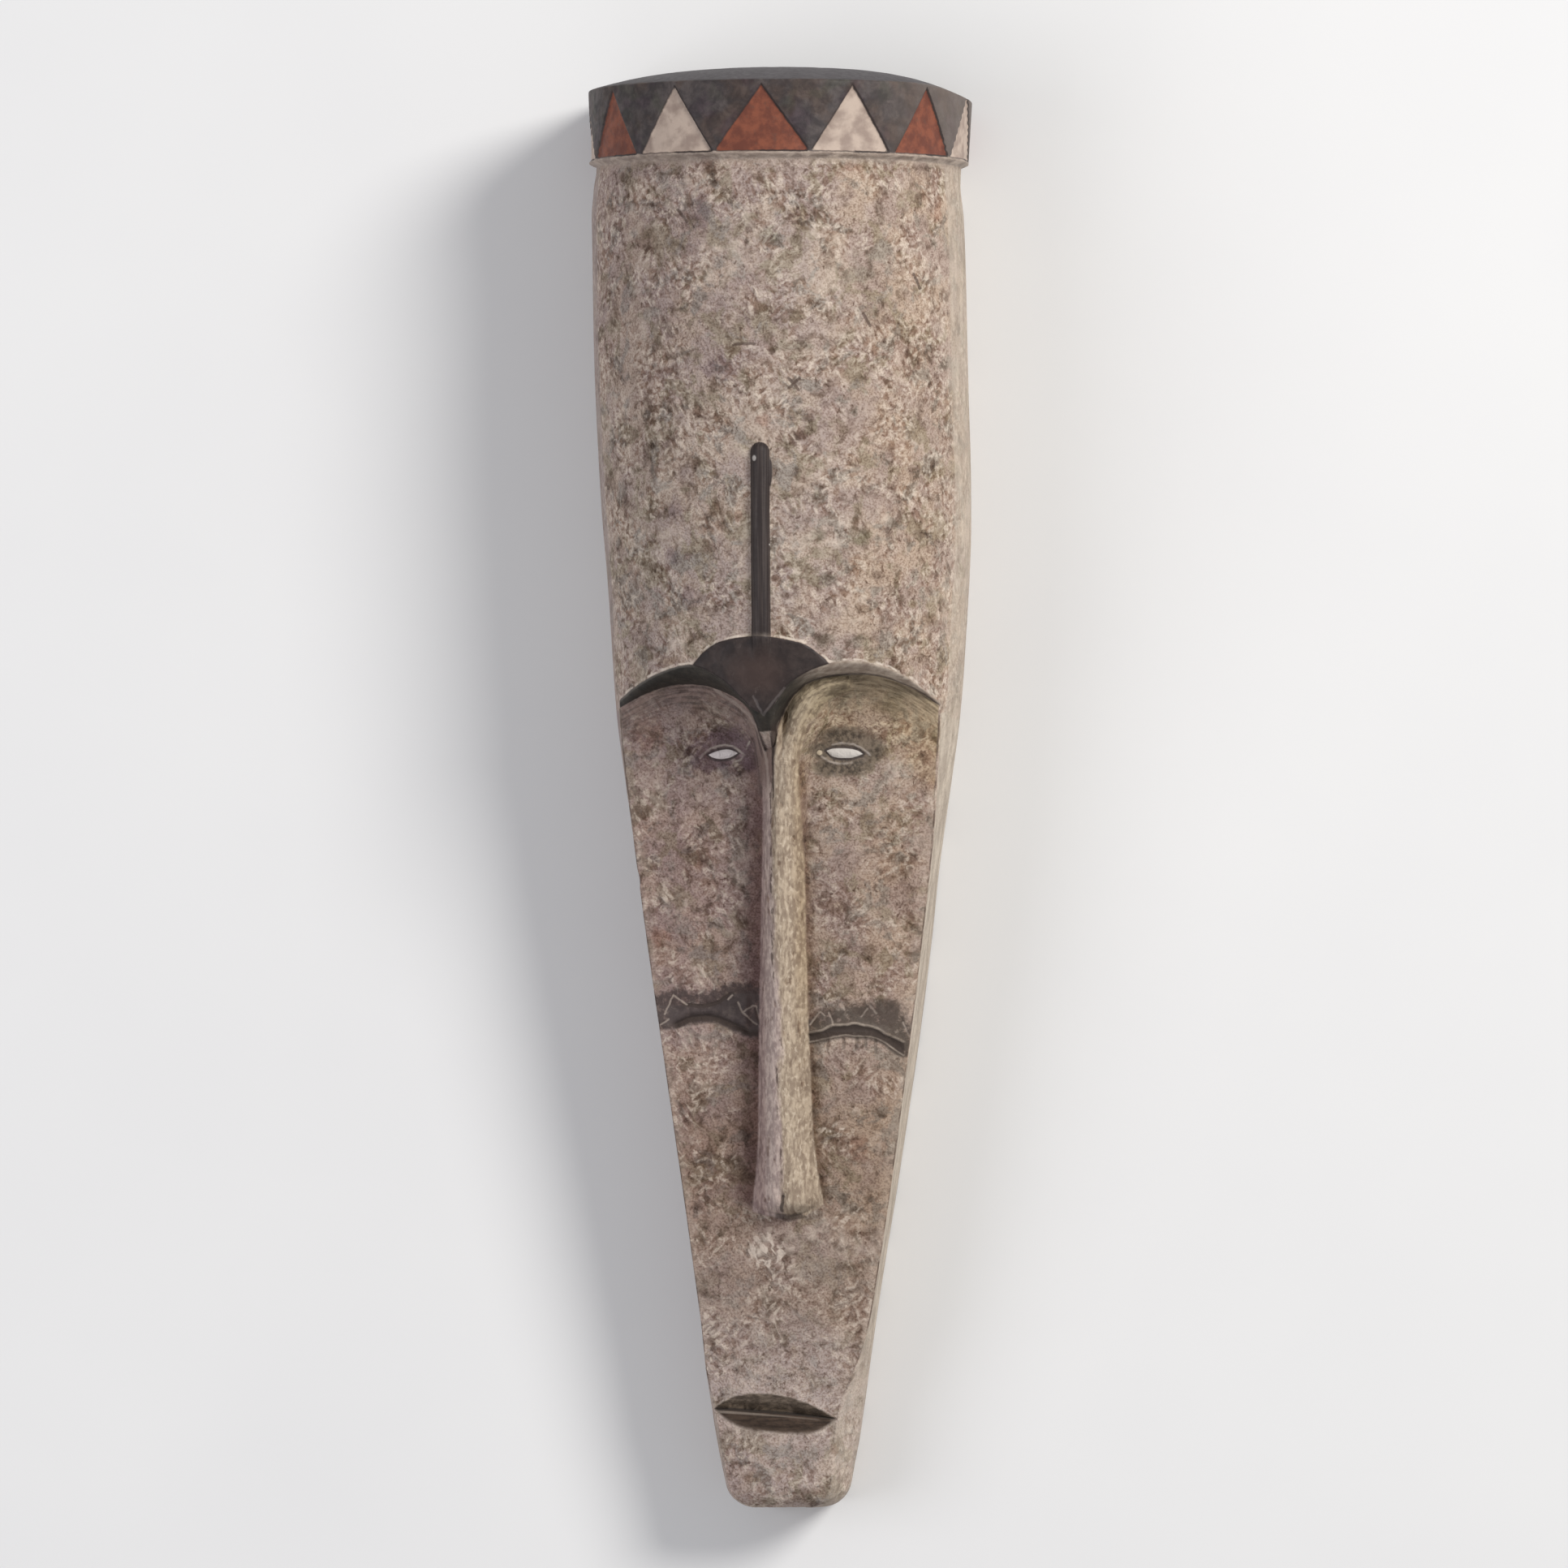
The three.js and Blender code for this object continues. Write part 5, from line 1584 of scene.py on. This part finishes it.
def paint_cheeks(p, colour, wobble):
    """Two dark arched bands with a soot edge above them and pale cut lines."""
    fuzzy = (p.spread(6, 5.7, detail=4, rough=0.7) - 0.5) * 16
    worn = p.ramp(p.spread(5, 8.2, detail=4, rough=0.7), 0.66, 0.5, 0.55, 1.0)
    inside = p.ramp(p["side"], 0.5, -0.5)
    body = p.ramp(p["left_head"] + fuzzy, 3, -3) * p.ramp(p["left_foot"] + wobble, -1.2, 1.2)
    body = body * p.ramp(p.x, -4, -8) * inside
    colour = p.mix(body * worn * 0.92, colour, CHEEK_PAINT["left"])
    foot = p.ramp(p["right_under"] + wobble * 0.5, -1.6, -0.4)
    body = p.ramp(p["right_head"] + fuzzy, 4, -4) * foot * p.ramp(p.x, 17, 20) * inside
    colour = p.mix(body * worn * 0.9, colour, CHEEK_PAINT["right"])
    faint = p.ramp(p.spread(11, 2.6, detail=2), 0.3, 0.55, 0.45, 1.0)
    colour = paint_right_cheek(p, paint_left_cheek(p, colour), wobble, fuzzy, faint)
    strokes_share = p.ramp(p.away_from(CHEEK_STROKES), 0.1, 0.95, 1.0, 0.0)
    return p.mix(strokes_share * faint * 0.6, colour, CHEEK_PAINT["strokes"])


def paint_left_cheek(p, colour):
    """The left band between its two cut lines."""
    band = p.ramp(p["left_over"], 0.6, -0.6) * p.ramp(p["left_under"], -0.6, 0.6)
    band = band * p.within(p.x, -60, -20, 4)
    colour = p.mix(band * 0.8, colour, plain_paint(p, CHEEK_PAINT["band"], 8.0))
    cut = p.thin(p["left_over"], 0.5, 1.0) * p.within(p.x, -56, -27, 3)
    under = p.thin(p["left_under"] + 0.8, 1.2, 1.6) * p.within(p.x, -61, -12, 3)
    return p.mix(p.most(cut, under) * 0.85, colour, CHEEK_PAINT["groove"])


def paint_right_cheek(p, colour, wobble, fuzzy, faint):
    """The right band, its pale ridges and the teeth under it."""
    ends = p.within(p.x, 20, 79, 1)
    over = p["right_over"] + wobble * 0.5
    under = p["right_under"] + wobble * 0.5
    between = p.ramp(over, 0.7, -1.0) * p.ramp(under, -0.8, 1.0) * ends
    colour = p.mix(between * 0.85, colour, CHEEK_PAINT["groove"])
    bright = p.ramp(p.oval(49, 297, 22, 14), 1.3, 0.4, 0.55, 1.0)
    low_end = p.ramp(p.oval(74, 281, 9, 8), 1.2, 0.5, 0.6, 1.0)
    ridge = p.most(p.thin(over, 0.2, 1.1) * bright, p.thin(under, 0.1, 0.9) * low_end * faint)
    colour = p.mix(ridge * ends * p.ramp(fuzzy, -2, 2, 0.35, 0.7), colour, CHEEK_PAINT["ridge"])
    shadow = p.ramp(p["right_under"], -3.4, -0.8) * p.ramp(p["right_under"], -0.2, -0.8) * ends
    colour = p.mix(shadow * 0.45, colour, CHEEK_PAINT["right"])
    teeth = p.ramp(p.away_from(CHEEK_TEETH), 0.5, 1.5, 1.0, 0.0)
    return p.mix(teeth * 0.5, colour, CHEEK_PAINT["right"])


def paint_mouth(p, colour, wobble):
    """Olive brown lips with a painted highlight along the lower one's edge."""
    above = p.ramp(p["mouth_line"], -0.3, 0.5)
    mottled = p.spread((7, 3, 5), 4.3, detail=4, rough=0.65)
    upper = p.mix(p.ramp(mottled, 0.38, 0.66), *LIP_PAINT["upper"])
    fold = p.tint(1.0, upper, LIP_PAINT["fold"])
    upper = p.mix(p.ramp(p["mouth_line"], 1.0, 9.0), fold, upper)
    streaks = p.spread((24, 1.7, 6), 6.2, detail=3, rough=0.6)
    lower = p.mix(p.ramp(streaks + mottled, 0.8, 1.2), *LIP_PAINT["lower"])
    foot = p.ramp(p["mouth"], 5.0, 0.5) * p.ramp(p["mouth_line"], -3, -6)
    lower = p.mix(foot * 0.5, lower, LIP_PAINT["foot"])
    soft = p.ramp(above, 0, 1, 2.2, 0.8)
    inside = p.ramp(p["mouth"] + wobble * 0.7, -0.6, soft)
    colour = p.mix(inside, colour, p.mix(above, lower, upper))
    # Painted highlight along the lower lip's top edge, wider and stronger to the left
    width = p.ramp(p.x, -35, 20, 0.7, 0.2)
    edge = abs(p["mouth_line"] + 1.5)
    light = p.ramp(edge - width, -0.3, 0.5, 1.0, 0.0) * p.within(p.x, -37, 24, 3)
    strength = p.ramp(p.x, -30, 10, 0.6, 0.35)
    colour = p.mix(light * inside * strength, colour, LIP_PAINT["light"])
    slit = p.thin(p["mouth_line"] - 0.3, 0.4, 0.6) * inside
    return p.mix(slit * 0.8, colour, LIP_PAINT["slit"])


def paint_band(p, colour, wobble):
    """The crown's dark band with its red and white triangles, its pale rim and the grey dome, and a
    dark cut round each triangle, stronger on its right edges as painted shade.
    """
    outside = p.ramp(p["hollow"], 0.3, 0.7, 1.0, 0.0)
    cloud = p.ramp(p.spread((9, 4, 9), 5.9, detail=4, rough=0.65), 0.38, 0.6)
    on_rim = p.ramp(p.y + wobble, BAND_BOTTOM - 5, BAND_BOTTOM + 2) * outside
    colour = p.mix(on_rim * 0.75, colour, p.mix(cloud, *BAND_PAINT["rim"]))
    on_band = p.ramp(p.y + wobble * 0.5, TRIANGLE_FOOT - 0.8, TRIANGLE_FOOT + 0.3) * outside
    colour = p.mix(on_band, colour, charcoal_colour(p))
    inside = p["triangle"] + wobble * 0.45
    colour = p.mix(p.ramp(inside, -0.3, 0.4) * outside, colour, triangle_colour(p))
    # Dark cut round each triangle, stronger on the right edges as painted shade of the recess's
    # wall turned from the light
    cut = p.thin(inside + 0.2, 0.25, 0.7)
    shade_on_right = p.ramp(p["triangle_hand"], -0.2, 0.6, 0.35, 0.9)
    colour = p.mix(cut * shade_on_right * outside, colour, BAND_PAINT["cut"])
    dome = p.mix(p.spread(16, 4.1, detail=4), *BAND_PAINT["dome"])
    on_dome = p.ramp(p.y, CROWN_EDGE - 0.6, CROWN_EDGE + 0.8) * outside
    return p.mix(on_dome, colour, dome)


def charcoal_colour(p):
    """Dark grey with faint purple, green and brown clouds, paler to the right."""
    charcoal = plain_paint(p, BAND_PAINT["charcoal"], 7.0)
    for name, size, shift, low, high in BAND_CLOUDS:
        cloud = p.ramp(p.spread(size, shift, detail=3), low, high)
        charcoal = p.tint(cloud * 0.7, charcoal, BAND_PAINT[name])
    return p.mix(p.ramp(p.x, 60, 112) * 0.45, charcoal, BAND_PAINT["pale"])


def triangle_colour(p):
    """Brick red or soiled white, as the mark of each triangle says."""
    soiled = p.ramp(p.spread(5, 9.2, detail=3, rough=0.65), 0.56, 0.7)
    cloud = p.ramp(p.spread(8, 2.6, detail=4, rough=0.6), 0.38, 0.66)
    red = p.mix(soiled * 0.4, p.mix(cloud, *BAND_PAINT["red"]), BAND_PAINT["soiled_red"])
    cloud = p.ramp(p.spread(11, 3.7, detail=3), 0.34, 0.62)
    white = p.mix(soiled * 0.3, p.mix(cloud, *BAND_PAINT["white"]), BAND_PAINT["soiled_white"])
    return p.mix(p["triangle_red"], white, red)


def hollow_wood(p):
    """Bare adzed wood with dust in the hollow."""
    streaks = p.spread((3, 60, 3), 6.1, detail=4)
    wood = p.mix(p.ramp(streaks, 0.35, 0.7), *WOOD_PAINT["wood"])
    dust = p.ramp(p.spread(40, 7.3, detail=4, rough=0.6), 0.5, 0.75)
    return p.mix(dust * 0.4, wood, WOOD_PAINT["dust"])


def base_paint(p):
    """The crust with its stains and smooth sides, and what its bumps follow."""
    p.measure()
    wobble = p.spread(4.5, 3.3, detail=3) * 2.4 - 1.2
    lines = crinkle(p)
    colour = stain_crust(p, crust_colour(p, lines), lines)
    return paint_creases(p, colour, wobble), wobble, lines


def finish_paint(p, colour, smooth, lines):
    """Joins a colour to the shader, with bumps and dullness that follow the crust."""
    p.feed(colour, p.shader.inputs["Base Color"])
    gloss = p.ramp(smooth, 0, 1, 0.88, 0.6) + (lines - 0.5) * 0.3
    p.feed(gloss, p.shader.inputs["Roughness"])
    p.shader.inputs["Specular IOR Level"].default_value = 0.3
    lumps = lines * 1.3 + p.spread(1.1, 3.6, detail=2) * 0.35
    lumps = lumps + p.spread(6, 8.8, detail=3, rough=0.6, swirl=0.6) * 0.8
    bump = p.node("ShaderNodeBump")
    bump.inputs["Distance"].default_value = 0.7 * MM
    p.feed(p.ramp(smooth, 0, 1, 0.9, 0.15), bump.inputs["Strength"])
    p.feed(lumps, bump.inputs["Height"])
    p.feed(p.value(bump), p.shader.inputs["Normal"])
    return p.material


def add_nose(p, colour, wobble):
    on_nose = p.ramp(p["nose"] + wobble * 0.6, -0.8, 0.8)
    return p.mix(on_nose, colour, nose_colour(p)), on_nose * 0.6


def drum_paint():
    p = Paint("crusted_drum")
    colour, _, lines = base_paint(p)
    cuts = p.ramp(p.away_from(SCRATCHES), 0.5, 1.3, 1.0, 0.0)
    colour = p.mix(cuts * 0.75, colour, SCRATCH)
    return finish_paint(p, colour, p.ramp(p["side"], 3, 7, 0.0, 0.5), lines)


def crown_paint():
    p = Paint("painted_crown")
    colour, wobble, lines = base_paint(p)
    colour = paint_band(p, colour, wobble)
    return finish_paint(p, colour, p.ramp(p.y, BAND_BOTTOM - 1, BAND_BOTTOM + 1), lines)


def brow_paint():
    p = Paint("painted_brow")
    colour, wobble, lines = base_paint(p)
    colour = paint_arch_shade(p, colour)
    colour, on_nose = add_nose(p, colour, wobble)
    colour, smooth = paint_brow(p, colour, wobble)
    return finish_paint(p, colour, p.most(smooth, on_nose), lines)


def eye_paint():
    p = Paint("painted_eyes")
    colour, _, lines = base_paint(p)
    colour = paint_eyes(p, paint_arch_shade(p, colour))
    return finish_paint(p, colour, p.ramp(p["soot"], 0.1, 0.6, 0.0, 0.5), lines)


def face_paint():
    p = Paint("crusted_face")
    colour, wobble, lines = base_paint(p)
    colour, on_nose = add_nose(p, colour, wobble)
    shadow = p.ramp(p.away_from(NOSE_SHADOW), 0.8, 3.2, 1.0, 0.0)
    colour = p.mix(shadow * 0.75, colour, NOSE_PAINT["shadow"])
    # Painted shade in the nose's cleft
    cleft = p.ramp(p.away_from(NOSE_CLEFT), 0.6, 1.6, 1.0, 0.0)
    colour = p.mix(cleft * p.ramp(p.y, 199, 193) * 0.8, colour, NOSE_PAINT["cleft"])
    return finish_paint(p, colour, on_nose, lines)


def cheek_paint():
    p = Paint("painted_cheeks")
    colour, wobble, lines = base_paint(p)
    colour = paint_cheeks(p, colour, wobble)
    colour, on_nose = add_nose(p, colour, wobble)
    band = p.least(-p["left_over"], p["left_under"])
    return finish_paint(p, colour, p.most(on_nose, p.ramp(band, -0.5, 0.5)), lines)


def mouth_paint():
    p = Paint("painted_mouth")
    colour, wobble, lines = base_paint(p)
    colour = paint_mouth(p, colour, wobble)
    return finish_paint(p, colour, p.ramp(p["mouth"], -0.5, 0.5, 0.0, 0.4), lines)


def wood_paint():
    p = Paint("bare_wood")
    p.measure()
    lines = p.spread((2, 40, 2), 1.9, detail=3)
    return finish_paint(p, hollow_wood(p), p.ramp(lines, 0.3, 0.7, 0.2, 0.6), lines)


PAINTS = (
    drum_paint, crown_paint, brow_paint, eye_paint,
    face_paint, cheek_paint, mouth_paint, wood_paint,
)
DRUM, CROWN, BROW, EYE, FACE, CHEEKS, LIPS, WOOD = range(len(PAINTS))

# Which paint a stretch of the front and sides takes, from one height to another and from side to
# side; a later line wins, and neighbours agree where they meet
ZONES = (
    (BROW, 395, 545, -200, 200), (BROW, 540, 668, -16, 16), (EYE, 436, 484.5, -80, -12.5),
    (EYE, 436, 484.5, 24, 80), (FACE, -50, 436, -200, 200), (CHEEKS, 268, 342, -200, 200),
    (LIPS, -50, 84, -200, 200), (CROWN, 812, 900, -200, 200),
)


def paint_zones(x, y, hollow):
    """The number of the paint that each face of the mesh takes."""
    zone = np.full(len(x), DRUM)
    for paint, low, high, left, right in ZONES:
        zone[(y > low) & (y < high) & (x > left) & (x < right)] = paint
    zone[hollow > 0.5] = WOOD
    return zone


def paint_mask(ob):
    mesh = ob.data
    for paint in PAINTS:
        mesh.materials.append(paint())
    middles = np.empty(len(mesh.polygons) * 3)
    mesh.polygons.foreach_get("center", middles)
    middles = middles.reshape(-1, 3) / MM
    corners = np.empty(len(mesh.polygons) * 3, np.int32)
    mesh.polygons.foreach_get("vertices", corners)
    hollow = read_mark(mesh, "hollow")[corners.reshape(-1, 3)].mean(axis=1)
    zone = paint_zones(middles[:, 0], middles[:, 1] + DATUM, hollow)
    mesh.polygons.foreach_set("material_index", zone.astype(np.int32))
    mesh.update()


def make_floor():
    mesh = bpy.data.meshes.new("floor")
    corners = [(-1, -1), (1, -1), (1, 1), (-1, 1)]
    points = [(x * FLOOR_REACH, y * FLOOR_REACH, -FLOOR_DEPTH) for x, y in corners]
    mesh.from_pydata(points, [], [(0, 1, 2, 3)])
    floor = bpy.data.objects.new("floor", mesh)
    bpy.context.scene.collection.objects.link(floor)
    p = Paint("pale_floor")
    p.measure()
    tone = p.mix(p.spread(180, 2.0, detail=3), *FLOOR_PAINT)
    p.feed(tone, p.shader.inputs["Base Color"])
    p.shader.inputs["Roughness"].default_value = 0.75
    mesh.materials.append(p.material)


def make_camera():
    """The photograph's view: from straight over the face, turned a little to its right."""
    away = np.array([math.sin(CAMERA_TURN), 0, math.cos(CAMERA_TURN)]) * CAMERA_DISTANCE
    camera = bpy.data.cameras.new("camera")
    camera.sensor_width = SENSOR_WIDTH
    camera.lens = SENSOR_WIDTH * FOCAL_PIXELS / PHOTO_WIDTH
    ob = bpy.data.objects.new("camera", camera)
    ob.location = (np.array(CAMERA_AIM) - [0, DATUM, 0]) * MM + away
    ob.rotation_euler = (0, CAMERA_TURN, 0)
    bpy.context.scene.collection.objects.link(ob)
    bpy.context.scene.camera = ob


def make_light(name, place, size, power, colour):
    light = bpy.data.lights.new(name, "AREA")
    light.shape = "DISK"
    light.size = size
    light.energy = power
    light.color = colour
    ob = bpy.data.objects.new(name, light)
    ob.location = place
    look = np.array(place) * -1.0
    pitch = math.atan2(math.hypot(look[0], look[1]), -look[2])
    ob.rotation_euler = (pitch, 0, math.atan2(look[0], -look[1]) + math.pi)
    bpy.context.scene.collection.objects.link(ob)


def make_lights():
    for name, settings in LIGHTS.items():
        make_light(name, *settings)
    world = bpy.data.worlds.new("studio")
    world.use_nodes = True
    for socket, setting in zip(world.node_tree.nodes["Background"].inputs, SKY):
        socket.default_value = setting
    bpy.context.scene.world = world


make_camera()
make_lights()
make_floor()
mask = make_mask()
paint_mask(mask)
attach(mask, "root")
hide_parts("mask")
bpy.context.scene.view_settings.view_transform = "Standard"
